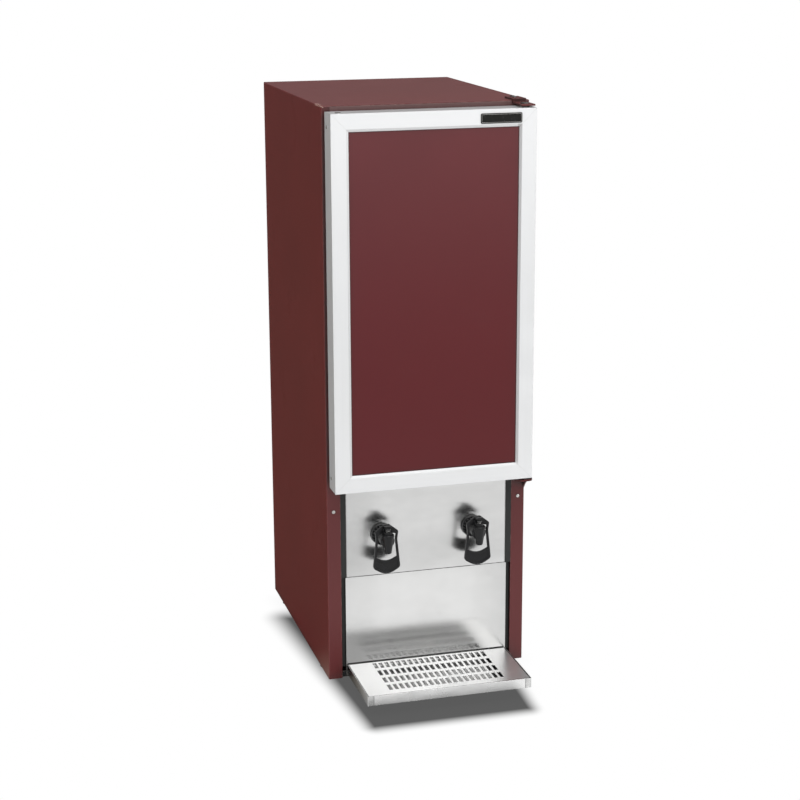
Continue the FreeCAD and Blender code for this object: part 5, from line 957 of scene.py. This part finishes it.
def close_tree(tree, start, end, shape, facing=False, **more):
    """Ends a tree the same way each time: the shape on every point, real and with its material."""
    if facing:
        named = add(tree, "GeometryNodeInputNamedAttribute", {"Name": "facing"}, data_type="FLOAT_VECTOR")
        more["Rotation"] = aim(tree, named.outputs["Attribute"], "Z")
    placed = scatter(tree, start["Points"], shape, **more)
    real = add(tree, "GeometryNodeRealizeInstances", {0: placed}).outputs[0]
    made = add(tree, "GeometryNodeSetMaterial", {"Geometry": real, "Material": start["Finish"]})
    feed(tree, end, Geometry=made.outputs[0])


def build_screw():
    """A domed screw with a cross recess on every point, its head the way the point faces."""
    tree, start, end = open_tree(
        "Cross-head screw",
        {"Radius": 3.0 * MM, "Height": 1.5 * MM, "Shank Radius": 1.7 * MM, "Shank Length": 8.0 * MM,
         "Recess": 1.15})
    radius, height = start["Radius"], start["Height"]
    barrel = add(
        tree, "GeometryNodeMeshCylinder",
        {"Vertices": 28, "Side Segments": 6, "Radius": radius, "Depth": height}).outputs["Mesh"]
    place = separate(tree, add(tree, "GeometryNodeInputPosition").outputs[0])
    rise = number(tree, "ADD", number(tree, "DIVIDE", place["Z"], height), 0.5)
    pulled = minus(tree, 1.0, product(tree, number(tree, "POWER", rise, 4.0), 0.34))
    domed = combine(
        tree, product(tree, place["X"], pulled), product(tree, place["Y"], pulled),
        product(tree, minus(tree, rise, 1.0), height))
    head = add(tree, "GeometryNodeSetPosition", {"Geometry": barrel, "Position": domed}).outputs[0]
    length = product(tree, radius, start["Recess"])
    width = product(tree, length, 0.24)
    deep = product(tree, height, 1.1)
    cut = add(tree, "GeometryNodeMeshBoolean", {"Mesh 1": head}, operation="DIFFERENCE")
    for sides in ((length, width), (width, length)):
        slot = add(tree, "GeometryNodeMeshCube", {"Size": combine(tree, *sides, deep)})
        feed(tree, cut.inputs, Mesh_2=slot.outputs["Mesh"])
    shank = add(
        tree, "GeometryNodeMeshCylinder",
        {"Vertices": 16, "Radius": start["Shank Radius"], "Depth": start["Shank Length"]}).outputs["Mesh"]
    drop = minus(tree, product(tree, start["Shank Length"], -0.5), height)
    lowered = add(
        tree, "GeometryNodeTransform", {"Geometry": shank, "Translation": combine(tree, z=drop)})
    whole = add(tree, "GeometryNodeJoinGeometry")
    for source in (cut.outputs["Mesh"], lowered.outputs[0]):
        tree.links.new(source, whole.inputs[0])
    close_tree(tree, start, end, whole.outputs[0], facing=True)


def build_grips():
    """A ring of grip ribs round every point, its axis the way the point faces."""
    tree, start, end = open_tree(
        "Grip ribs", {"Count": 20, "Radius": 14.0 * MM, "Rib": (0.0, 0.0, 0.0)})
    circle = add(
        tree, "GeometryNodeMeshCircle", {"Vertices": start["Count"], "Radius": start["Radius"]})
    rod = add(
        tree, "GeometryNodeMeshCone",
        {"Vertices": 10, "Side Segments": 2, "Radius Top": 0.32, "Radius Bottom": 0.5, "Depth": 1.0})
    shaped = add(
        tree, "GeometryNodeTransform", {"Geometry": rod.outputs["Mesh"], "Scale": start["Rib"]})
    outward = aim(tree, add(tree, "GeometryNodeInputPosition").outputs[0], "X", pivot_axis="Z")
    ribs = scatter(tree, circle.outputs["Mesh"], shaped.outputs[0], Rotation=outward)
    close_tree(tree, start, end, ribs, facing=True)


def build_spring():
    """A coil spring that stands on the host's point."""
    tree, start, end = open_tree(
        "Coil spring", {"Coils": 4.0, "Radius": 4.0 * MM, "Wire": 0.4 * MM, "Height": 6.0 * MM})
    spiral = add(
        tree, "GeometryNodeCurveSpiral",
        {"Resolution": 24, "Rotations": start["Coils"], "Start Radius": start["Radius"],
         "End Radius": start["Radius"], "Height": start["Height"]})
    profile = add(tree, "GeometryNodeCurvePrimitiveCircle", {"Resolution": 8, "Radius": start["Wire"]})
    tube = add(
        tree, "GeometryNodeCurveToMesh",
        {"Curve": spiral.outputs[0], "Profile Curve": profile.outputs[0], "Fill Caps": True})
    close_tree(tree, start, end, tube.outputs[0])


def build_row():
    """A row of equal thin plates, evenly spaced from the host's point."""
    tree, start, end = open_tree(
        "Fin row", {"Count": 10, "Pitch": 2.0 * MM, "Plate": (0.0, 0.0, 0.0)})
    line = add(
        tree, "GeometryNodeMeshLine",
        {"Count": start["Count"], "Offset": combine(tree, start["Pitch"])},
        mode="OFFSET", count_mode="TOTAL")
    plate = add(tree, "GeometryNodeMeshCube", {"Size": start["Plate"]})
    close_tree(tree, start, end, scatter(tree, line.outputs[0], plate.outputs["Mesh"]))


def build_welds():
    """A flattened bead of weld on every point."""
    tree, start, end = open_tree("Weld beads", {"Radius": 1.5 * MM})
    bead = add(tree, "GeometryNodeMeshIcoSphere", {"Radius": start["Radius"], "Subdivisions": 2})
    close_tree(tree, start, end, bead.outputs["Mesh"], Scale=(1.25, 1.25, 0.55))


GROUP_BUILDERS = {
    "Fine grain": build_grain, "Brushed lines": build_brushing, "Handling marks": build_marks,
    "Edge wear": build_edges, "Settled dust": build_dust, "Joint grime": build_grime_and_shade,
    "Cross-head screw": build_screw, "Grip ribs": build_grips, "Coil spring": build_spring,
    "Fin row": build_row, "Weld beads": build_welds,
}


# -------------------------------------------------------------------- the parts
class COOLER_OT_cabinet(Operator):
    """Powder coat on the shell, the top rail, the door's sheet and the hinge brackets, whose coat is a
    darker copy: painted shade
    """

    bl_idname = "cooler.cabinet"
    bl_label = "Painted sheet"

    def execute(self, context):
        dress(
            powder_coat_shell="outer_shell", powder_coat_rail="top_rail", powder_coat_door="door_panel",
            powder_coat_bracket="top_hinge_bracket bottom_hinge_bracket")
        return {"FINISHED"}


class COOLER_OT_door_frame(Operator):
    """Anodised door frame, its lines along each member"""

    bl_idname = "cooler.door_frame"
    bl_label = "Door frame"

    def execute(self, context):
        dress(
            aluminium_upright="door_stile_left door_stile_right",
            aluminium_cross="door_rail_top door_rail_bottom")
        return {"FINISHED"}


class COOLER_OT_door_inside(Operator):
    """Foam, inner panel, magnetic gasket and nylon bushes of the door"""

    bl_idname = "cooler.door_inside"
    bl_label = "Inside of the door"

    def execute(self, context):
        dress(
            rigid_foam="door_foam", door_liner_plastic="door_inner_panel", gasket_vinyl="door_gasket",
            nylon="hinge_bushes")
        return {"FINISHED"}


class COOLER_OT_badge(Operator):
    """Bare plate on the door: a black face with a thin silver line round it"""

    bl_idname = "cooler.badge"
    bl_label = "Badge plate"

    corner = 1.9 * MM
    least_corner = 0.5 * MM
    rise = 0.9 * MM
    bevel = 0.2 * MM
    line_inset = 1.4 * MM
    line_width = 0.3 * MM
    line_drop = 0.12 * MM
    corner_steps = 7

    def outline(self, inset, depth):
        """A rounded rectangle on the door panel, as a list of points."""
        settings = detail_settings()
        radius = max(self.corner - inset, self.least_corner)
        right = settings.badge_right - inset - radius
        left = settings.badge_right - settings.badge_width + inset + radius
        top = settings.badge_top - inset - radius
        low = settings.badge_top - settings.badge_height + inset + radius
        points = []
        for turn, (x, z) in enumerate(((right, top), (left, top), (left, low), (right, low))):
            start = turn * math.pi / 2
            points += ring(
                self.corner_steps, radius, Vector((x, depth, z)), ACROSS, UPWARD, start,
                start + math.pi / 2)
        return points

    def execute(self, context):
        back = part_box("door_rail_top")[0].y
        front = back - self.rise
        dropped = front + self.line_drop
        line_end = self.line_inset + self.line_width
        face, line = 0, 1
        levels = (
            (0.0, back, face), (0.0, front + self.bevel, face), (self.bevel, front, face),
            (self.line_inset, front, face), (self.line_inset, dropped, line), (line_end, dropped, face),
            (line_end, front, face))
        shape = bmesh.new()
        bands = bridge(shape, [self.outline(inset, depth) for inset, depth, _ in levels])
        for band, (_, _, index) in zip(bands, levels):
            for skin in band:
                skin.material_index = index
        piece = new_piece("badge_plate", shape, "badge_face", "badge_line")
        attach(piece, "door")
        return {"FINISHED"}


class COOLER_OT_trim(Operator):
    """Black trim round the mouth"""

    bl_idname = "cooler.trim"
    bl_label = "Mouth trim"

    def execute(self, context):
        dress(trim_plastic="front_trim")
        return {"FINISHED"}


class COOLER_OT_steel(Operator):
    """Brushed steel: tap panel, splash panel, tray, grille and the tray's studs"""

    bl_idname = "cooler.steel"
    bl_label = "Brushed steel"

    def execute(self, context):
        dress(
            tap_panel_steel="tap_panel", splash_steel="splash_panel", tray_steel="drip_tray tray_studs",
            grille_steel="drip_grille")
        return {"FINISHED"}


class COOLER_OT_taps(Operator):
    """Black mouldings of the taps, their stems, pins, grip ribs and return springs"""

    bl_idname = "cooler.taps"
    bl_label = "Taps"

    wire = 0.35 * MM
    grip_radius = 14.6 * MM
    grip_size = (3.6 * MM, 2.6 * MM, 7.0 * MM)
    grip_from_panel = 6.4 * MM

    def execute(self, context):
        for hand in HANDS:
            dress(
                tap_moulding=f"tap_body_{hand}", lever_moulding=f"tap_lever_{hand}",
                stem_nylon=f"valve_stem_{hand}")
            low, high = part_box(f"tap_spring_{hand}")
            middle = (low + high) / 2
            spring = run_tree(
                f"return_spring_{hand}", point_host([(middle.x, middle.y, low.z + self.wire)]),
                "Coil spring",
                {"Coils": float(detail_settings().spring_coils),
                 "Radius": (high.x - low.x) / 2 - self.wire, "Wire": self.wire,
                 "Height": high.z - low.z - self.wire * 2}, "pin_steel")
            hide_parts(f"tap_spring_{hand}")
            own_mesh(spring)
            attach(spring, "cabinet")
            self.add_grips(hand, middle.x)
        dress(pin_steel="lever_pins", soft_rubber="tap_washers", tap_moulding="tap_nuts")
        return {"FINISHED"}

    def add_grips(self, hand, x):
        """Ribs round the collar, between its flange and its front shoulder."""
        low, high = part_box("tap_washers")
        centre = (x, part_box("tap_panel")[0].y - self.grip_from_panel, (low.z + high.z) / 2)
        grips = run_tree(
            f"collar_grips_{hand}", point_host([centre], [-INWARD]), "Grip ribs",
            {"Count": detail_settings().grip_count, "Radius": self.grip_radius, "Rib": self.grip_size},
            "tap_moulding")
        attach(grips, "cabinet")

    def travel(self, hand):
        """How far the stem comes down, in metres."""
        joint = next(j for j in frame["joints"] if j["name"] == f"stem_{hand}_travel")
        return -joint["range_m"][0]


class COOLER_OT_bay(Operator):
    """Liner, foam, cold plate and wire shelves with a weld at every crossing"""

    bl_idname = "cooler.bay"
    bl_label = "Wine bay"

    rod_radius = 2.5 * MM
    wire_depth = 1.9 * MM
    wire_pitch = 25.0 * MM
    wire_count = 10
    bead_radius = 1.7 * MM

    def execute(self, context):
        dress(
            liner_plastic="inner_liner", rigid_foam="insulation_foam", cold_plate="evaporator_plate",
            zinc_plate="lower_shelf upper_shelf")
        wires = [self.wire_pitch * (i - (self.wire_count - 1) / 2) for i in range(self.wire_count)]
        for level in ("lower", "upper"):
            low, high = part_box(f"{level}_shelf")
            rods = (low.y + self.rod_radius, (low.y + high.y) / 2, high.y - self.rod_radius)
            places = [(wire, rod, high.z - self.wire_depth) for rod in rods for wire in wires]
            welds = run_tree(
                f"{level}_shelf_welds", point_host(places), "Weld beads",
                {"Radius": self.bead_radius}, "zinc_plate")
            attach(welds, "cabinet")
        return {"FINISHED"}


class COOLER_OT_wine_lines(Operator):
    """Wine hoses and the spigots for the bags"""

    bl_idname = "cooler.wine_lines"
    bl_label = "Wine lines"

    def execute(self, context):
        dress(wine_hose="hose_left hose_right", tap_moulding="bag_connectors")
        return {"FINISHED"}


class COOLER_OT_machine(Operator):
    """Compressor, condenser with its fins, fan and copper lines"""

    bl_idname = "cooler.machine"
    bl_label = "Cooling machine"

    fin_thick = 0.25 * MM
    fin_margin = Vector((18.0, 0.5, 12.0)) * MM

    def execute(self, context):
        dress(
            black_enamel="compressor", soft_rubber="compressor_grommets",
            trim_plastic="relay_cover fan_blade", spangled_zinc="fan_shroud fan_motor",
            drawn_copper="discharge_pipe suction_pipe filter_drier", fin_stock="condenser")
        low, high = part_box("condenser")
        count = detail_settings().fin_count
        room = high - low - self.fin_margin * 2
        first = (low.x + self.fin_margin.x, (low.y + high.y) / 2, (low.z + high.z) / 2)
        fins = run_tree(
            "condenser_fins", point_host([first]), "Fin row",
            {"Count": count, "Pitch": room.x / (count - 1), "Plate": (self.fin_thick, room.y, room.z)},
            "fin_stock")
        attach(fins, "cabinet")
        return {"FINISHED"}


class COOLER_OT_base(Operator):
    """Base pan, feet, rear sheets and the rear grille"""

    bl_idname = "cooler.base"
    bl_label = "Base and back"

    def execute(self, context):
        dress(
            spangled_zinc="rear_panel partition_plate", black_enamel="base_plate rear_grille",
            soft_rubber="feet")
        return {"FINISHED"}


class COOLER_OT_controls(Operator):
    """Thermostat, its knob with the marks round it, and the mains inlet"""

    bl_idname = "cooler.controls"
    bl_label = "Controls"

    first_angle = -45.0
    swept_angle = 270.0
    tick_gap = 2.2 * MM
    tick_size = (2.4 * MM, 0.15 * MM, 0.7 * MM)
    long_tick = 4.0 * MM
    long_every = 5

    def execute(self, context):
        dress(liner_plastic="thermostat", trim_plastic="thermostat_knob mains_inlet")
        low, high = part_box("thermostat_knob")
        radius = (high.x - low.x) / 2 + self.tick_gap
        centre = (low + high) / 2
        centre.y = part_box("rear_grille")[1].y
        shape = bmesh.new()
        count = detail_settings().tick_count
        for index in range(count):
            angle = math.radians(self.first_angle + self.swept_angle * index / (count - 1))
            outward = ACROSS * math.cos(angle) + UPWARD * math.sin(angle)
            short, thick, wide = self.tick_size
            reach = short if index % self.long_every else self.long_tick
            turn = Matrix((outward, INWARD, outward.cross(INWARD))).transposed().to_4x4()
            size = Matrix.Diagonal((reach, thick, wide, 1.0))
            place = Matrix.Translation(centre + outward * (radius + reach / 2))
            bmesh.ops.create_cube(shape, size=1.0, matrix=place @ turn @ size)
        ticks = new_piece("dial_marks", shape, "liner_plastic")
        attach(ticks, "cabinet")
        return {"FINISHED"}


class COOLER_OT_fasteners(Operator):
    """Cross-head screws in the cabinet, the hinges and the door, the hole plugs and hinge pins"""

    bl_idname = "cooler.fasteners"
    bl_label = "Fasteners"

    groups = (
        ("case_screws", "cabinet", "screw_plating"), ("hinge_screws", "cabinet", "dark_plating"),
        ("door_screws", "door", "door_plating"))
    base_screw = (4.2 * MM, 4.4 * MM, 2.0 * MM, 1.0 * MM)
    base_screw_rows = (0.095, 0.245)
    # The soft rim of a plug: shares of its radius and of its height below its face
    plug_profile = ((1.0, 1.0), (1.0, 0.45), (0.9, 0.08), (0.8, 0.0))
    plug_sides = 28

    def execute(self, context):
        for node, body, plating in self.groups:
            kinds = {}
            for points in solids_of(node):
                centre, facing, sizes = measure_screw(points)
                kinds.setdefault(sizes, []).append((centre, facing))
            whole = bmesh.new()
            for sizes, items in kinds.items():
                shank_radius = sizes[2]
                if shank_radius > 0.0:
                    self.add_screws(whole, sizes, items, plating)
                else:
                    self.add_plugs(whole, sizes, items)
            piece = new_piece(node.replace("screws", "cross_screws"), whole, plating, turned_out=False)
            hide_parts(node)
            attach(piece, body)
        dress(dark_plating="hinge_pins")
        self.add_base_screws()
        return {"FINISHED"}

    def add_base_screws(self):
        """Screws up into the edges of the base pan, their heads below it."""
        low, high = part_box("base_plate")
        radius, height = self.base_screw[:2]
        items = [
            (Vector((side * (high.x - radius), y, low.z - height)), -UPWARD)
            for side in (-1, 1) for y in self.base_screw_rows]
        whole = bmesh.new()
        self.add_screws(whole, self.base_screw, items, "dark_plating")
        piece = new_piece("base_edge_screws", whole, "dark_plating", turned_out=False)
        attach(piece, "cabinet")

    def add_screws(self, whole, sizes, items, plating):
        """Screws of one size, built by the screw tree."""
        values = dict(zip(("Radius", "Height", "Shank Radius", "Shank Length"), sizes))
        values["Recess"] = detail_settings().recess_length
        piece = run_tree("screws", point_host(*zip(*items)), "Cross-head screw", values, plating)
        whole.from_mesh(piece.data)
        bpy.data.objects.remove(piece)

    def add_plugs(self, whole, sizes, items):
        """Round plugs with a softened rim, which close the unused hinge holes."""
        radius, height = sizes[:2]
        for centre, facing in items:
            first = facing.orthogonal().normalized()
            second = facing.cross(first)
            bridge(whole, [
                ring(self.plug_sides, radius * out, centre - facing * (height * down), first, second)
                for out, down in self.plug_profile])


class COOLER_OT_stage(Operator):
    """Floor, room, lamps and camera"""

    bl_idname = "cooler.stage"
    bl_label = "Stage"

    floor_reach = 30.0
    warm = (1.0, 0.80, 0.52)
    # How bright the mirrored floor is along Y: two levels, and the two places between which they change
    floor_bands = ((1.08, 0.86, -0.57, -0.70), (1.0, 0.38, -1.3, -2.2), (1.0, 3.4, -2.6, -7.0))
    # The same for the mirrored room, along one part of the direction of sight
    room_front = ("Y", 1.6, 0.20, -0.15, 0.35)
    room_ceiling = ("Z", 1.0, 0.55, 0.35, 0.9)
    room_left = ("X", 1.0, 0.25, -0.15, -0.55)
    # The dark band over the horizon ahead is the product of these
    horizon_band = (("Z", 0.0, 0.7, 0.08, 0.18), ("Z", 1.0, 0.0, 0.30, 0.48), ("Y", 1.0, 0.0, -0.2, 0.1))
    # Light on matt faces: stronger from the left and from above
    room_light = (("X", 1.0, 2.9, 0.1, -0.6), ("Z", 1.0, 2.6, 0.3, 0.9))
    lamps = (("key", (0.25, -1.5, 2.3), 1.6), ("fill", (2.0, -1.6, 1.0), 1.4))
    lamp_target = Vector((0.0, 0.0, 0.5))
    contact_reach = 45.0 * MM
    display_gamma = 2.2

    def execute(self, context):
        self.make_floor()
        self.make_room()
        self.make_lamps()
        self.make_camera()
        bpy.context.scene.view_settings.view_transform = "Standard"
        return {"FINISHED"}

    def make_floor(self):
        """White floor with a soft shadow drawn in its own coordinates."""
        material = bpy.data.materials.new("floor")
        material.use_nodes = True
        tree = material.node_tree
        tree.nodes.clear()
        place = axes(tree)
        path = add(tree, "ShaderNodeLightPath").outputs
        behind = product(
            tree, remap(tree, place["Y"], 0.0, 1.0, -0.24, 0.0),
            remap(tree, place["X"], 0.0, 1.0, 0.20, -0.15))
        bands = [remap(tree, place["Y"], *band) for band in self.floor_bands]
        mirrored = product(tree, remap(tree, behind, 1.0, stage_settings().behind_level), *bands)
        level = mix_number(tree, path["Is Glossy Ray"], 1.0, mirrored)
        hue = mix_colour(tree, product(tree, path["Is Glossy Ray"], behind), WHITE, self.warm)
        lit = mix_colour(tree, 1.0, self.draw_shadow(tree, place), hue, blend_type="MULTIPLY")
        glow = add(tree, "ShaderNodeEmission", {"Color": lit, "Strength": level})
        matt = add(tree, "ShaderNodeBsdfDiffuse", {"Color": (0.75, 0.75, 0.75, 1.0)})
        seen = number(tree, "MAXIMUM", path["Is Camera Ray"], path["Is Glossy Ray"])
        seen = number(tree, "MAXIMUM", seen, path["Is Transmission Ray"])
        both = add(tree, "ShaderNodeMixShader", {0: seen, 1: matt.outputs[0], 2: glow.outputs[0]})
        add(tree, "ShaderNodeOutputMaterial", {"Surface": both.outputs[0]})
        shape = bmesh.new()
        bmesh.ops.create_grid(shape, x_segments=1, y_segments=1, size=self.floor_reach)
        floor = new_piece("floor", shape)
        floor.data.materials.append(material)

    def draw_shadow(self, tree, place):
        """Tone of the floor: flat inside a slanted box, then a fade to white."""
        settings = stage_settings()
        (left, front), (right, rear) = settings.shadow_low, settings.shadow_high
        fades = settings.shadow_fades
        depth = minus(tree, place["Y"], front)
        left_drift = product(tree, depth, settings.shadow_slant)
        right_drift = product(tree, depth, settings.shadow_right_slant)
        left_fade = remap(tree, place["Y"], settings.shadow_front_fade, fades[0], front, rear)
        gaps = (
            (minus(tree, left, number(tree, "ADD", place["X"], left_drift)), left_fade),
            (minus(tree, minus(tree, place["X"], right_drift), right), fades[1]),
            (minus(tree, front, place["Y"]), fades[2]), (minus(tree, place["Y"], rear), fades[3]))
        gaps = [number(tree, "DIVIDE", gap, fade) for gap, fade in gaps]
        squares = []
        for pair in (gaps[:2], gaps[2:]):
            gap = number(tree, "MAXIMUM", number(tree, "MAXIMUM", *pair), 0.0)
            squares.append(product(tree, gap, gap))
        shade = remap(tree, number(tree, "SQRT", number(tree, "ADD", *squares)), 1.0, 0.0)
        clear = minus(tree, 1.0, product(tree, shade, shade))
        tone = remap(tree, clear, settings.shadow_tone, 1.0)
        near = add(tree, "ShaderNodeAmbientOcclusion", {"Distance": self.contact_reach}, samples=8)
        contact = remap(tree, near.outputs["AO"], 0.93, 1.0, 0.35, 0.85)
        return product(tree, number(tree, "POWER", tone, self.display_gamma), contact)

    def make_room(self):
        """A white room: full white where it is seen, shaped as a light and in mirrors."""
        world = bpy.data.worlds.new("room")
        world.use_nodes = True
        tree = world.node_tree
        tree.nodes.clear()
        path = add(tree, "ShaderNodeLightPath").outputs
        place = separate(tree, add(tree, "ShaderNodeTexCoord").outputs["Generated"])

        def shaded(*bands):
            return product(tree, *(remap(tree, place[axis], *levels) for axis, *levels in bands))

        mirror = product(
            tree, shaded(self.room_front, self.room_ceiling, self.room_left),
            minus(tree, 1.0, shaded(*self.horizon_band)))
        soft = product(tree, shaded(*self.room_light), stage_settings().room_level)
        level = mix_number(tree, path["Is Glossy Ray"], soft, mirror)
        seen = number(tree, "MAXIMUM", path["Is Camera Ray"], path["Is Transmission Ray"])
        sky = add(
            tree, "ShaderNodeBackground",
            {"Color": (*WHITE, 1.0), "Strength": mix_number(tree, seen, level, 1.0)})
        add(tree, "ShaderNodeOutputWorld", {"Surface": sky.outputs[0]})
        bpy.context.scene.world = world

    def make_lamps(self):
        """A big soft lamp over the front, and a weak fill on the right."""
        for name, place, size in self.lamps:
            light = bpy.data.lights.new(f"{name}_lamp", "AREA")
            light.energy = getattr(stage_settings(), f"{name}_power")
            light.size = size
            lamp = bpy.data.objects.new(f"{name}_lamp", light)
            lamp.location = place
            aimed = self.lamp_target - Vector(place)
            lamp.rotation_euler = aimed.to_track_quat("-Z", "Y").to_euler()
            bpy.context.scene.collection.objects.link(lamp)

    def make_camera(self):
        settings = stage_settings()
        turn, dip, roll = settings.camera_turn, settings.camera_dip, settings.camera_roll
        ahead = Vector((
            math.sin(turn) * math.cos(dip), math.cos(turn) * math.cos(dip), -math.sin(dip)))
        right = Vector((math.cos(turn), -math.sin(turn), 0.0))
        above = right.cross(ahead)
        side = right * math.cos(roll) + above * math.sin(roll)
        top = above * math.cos(roll) - right * math.sin(roll)
        view = Matrix((side, top, -ahead)).transposed().to_4x4()
        view.translation = Vector(settings.camera_place)
        lens = bpy.data.cameras.new("camera")
        lens.sensor_width = 36.0
        lens.lens = lens.sensor_width * settings.focal_ratio
        lens.clip_start = 0.05
        lens.clip_end = 100.0
        camera = bpy.data.objects.new("camera", lens)
        camera.matrix_world = view
        bpy.context.scene.collection.objects.link(camera)
        bpy.context.scene.camera = camera


STEPS = (
    COOLER_OT_cabinet, COOLER_OT_door_frame, COOLER_OT_door_inside, COOLER_OT_badge,
    COOLER_OT_trim, COOLER_OT_steel, COOLER_OT_taps, COOLER_OT_bay, COOLER_OT_wine_lines,
    COOLER_OT_machine, COOLER_OT_base, COOLER_OT_controls, COOLER_OT_fasteners,
    COOLER_OT_stage)


class COOLER_PT_panel(Panel):
    """Lists the settings and the steps that make the cooler"""

    bl_label = "Wine cooler"
    bl_idname = "COOLER_PT_panel"
    bl_space_type = "VIEW_3D"
    bl_region_type = "UI"
    bl_category = "Cooler"

    def draw(self, context):
        layout = self.layout
        for group in (finish_settings(), detail_settings(), stage_settings()):
            box = layout.box()
            for name in group.bl_rna.properties.keys():
                if name not in ("rna_type", "name"):
                    box.prop(group, name)
        for step in STEPS:
            layout.operator(step.bl_idname)


CLASSES = (CoolerFinish, CoolerDetail, CoolerStage, *STEPS, COOLER_PT_panel)


def register():
    for item in CLASSES:
        bpy.utils.register_class(item)
    bpy.types.Scene.cooler_finish = PointerProperty(type=CoolerFinish)
    bpy.types.Scene.cooler_detail = PointerProperty(type=CoolerDetail)
    bpy.types.Scene.cooler_stage = PointerProperty(type=CoolerStage)


def unregister():
    del bpy.types.Scene.cooler_stage
    del bpy.types.Scene.cooler_detail
    del bpy.types.Scene.cooler_finish
    for item in reversed(CLASSES):
        bpy.utils.unregister_class(item)


def main():
    register()
    for step in STEPS:
        name = step.bl_idname.split(".")[1]
        getattr(bpy.ops.cooler, name)()


if __name__ == "__main__":
    main()
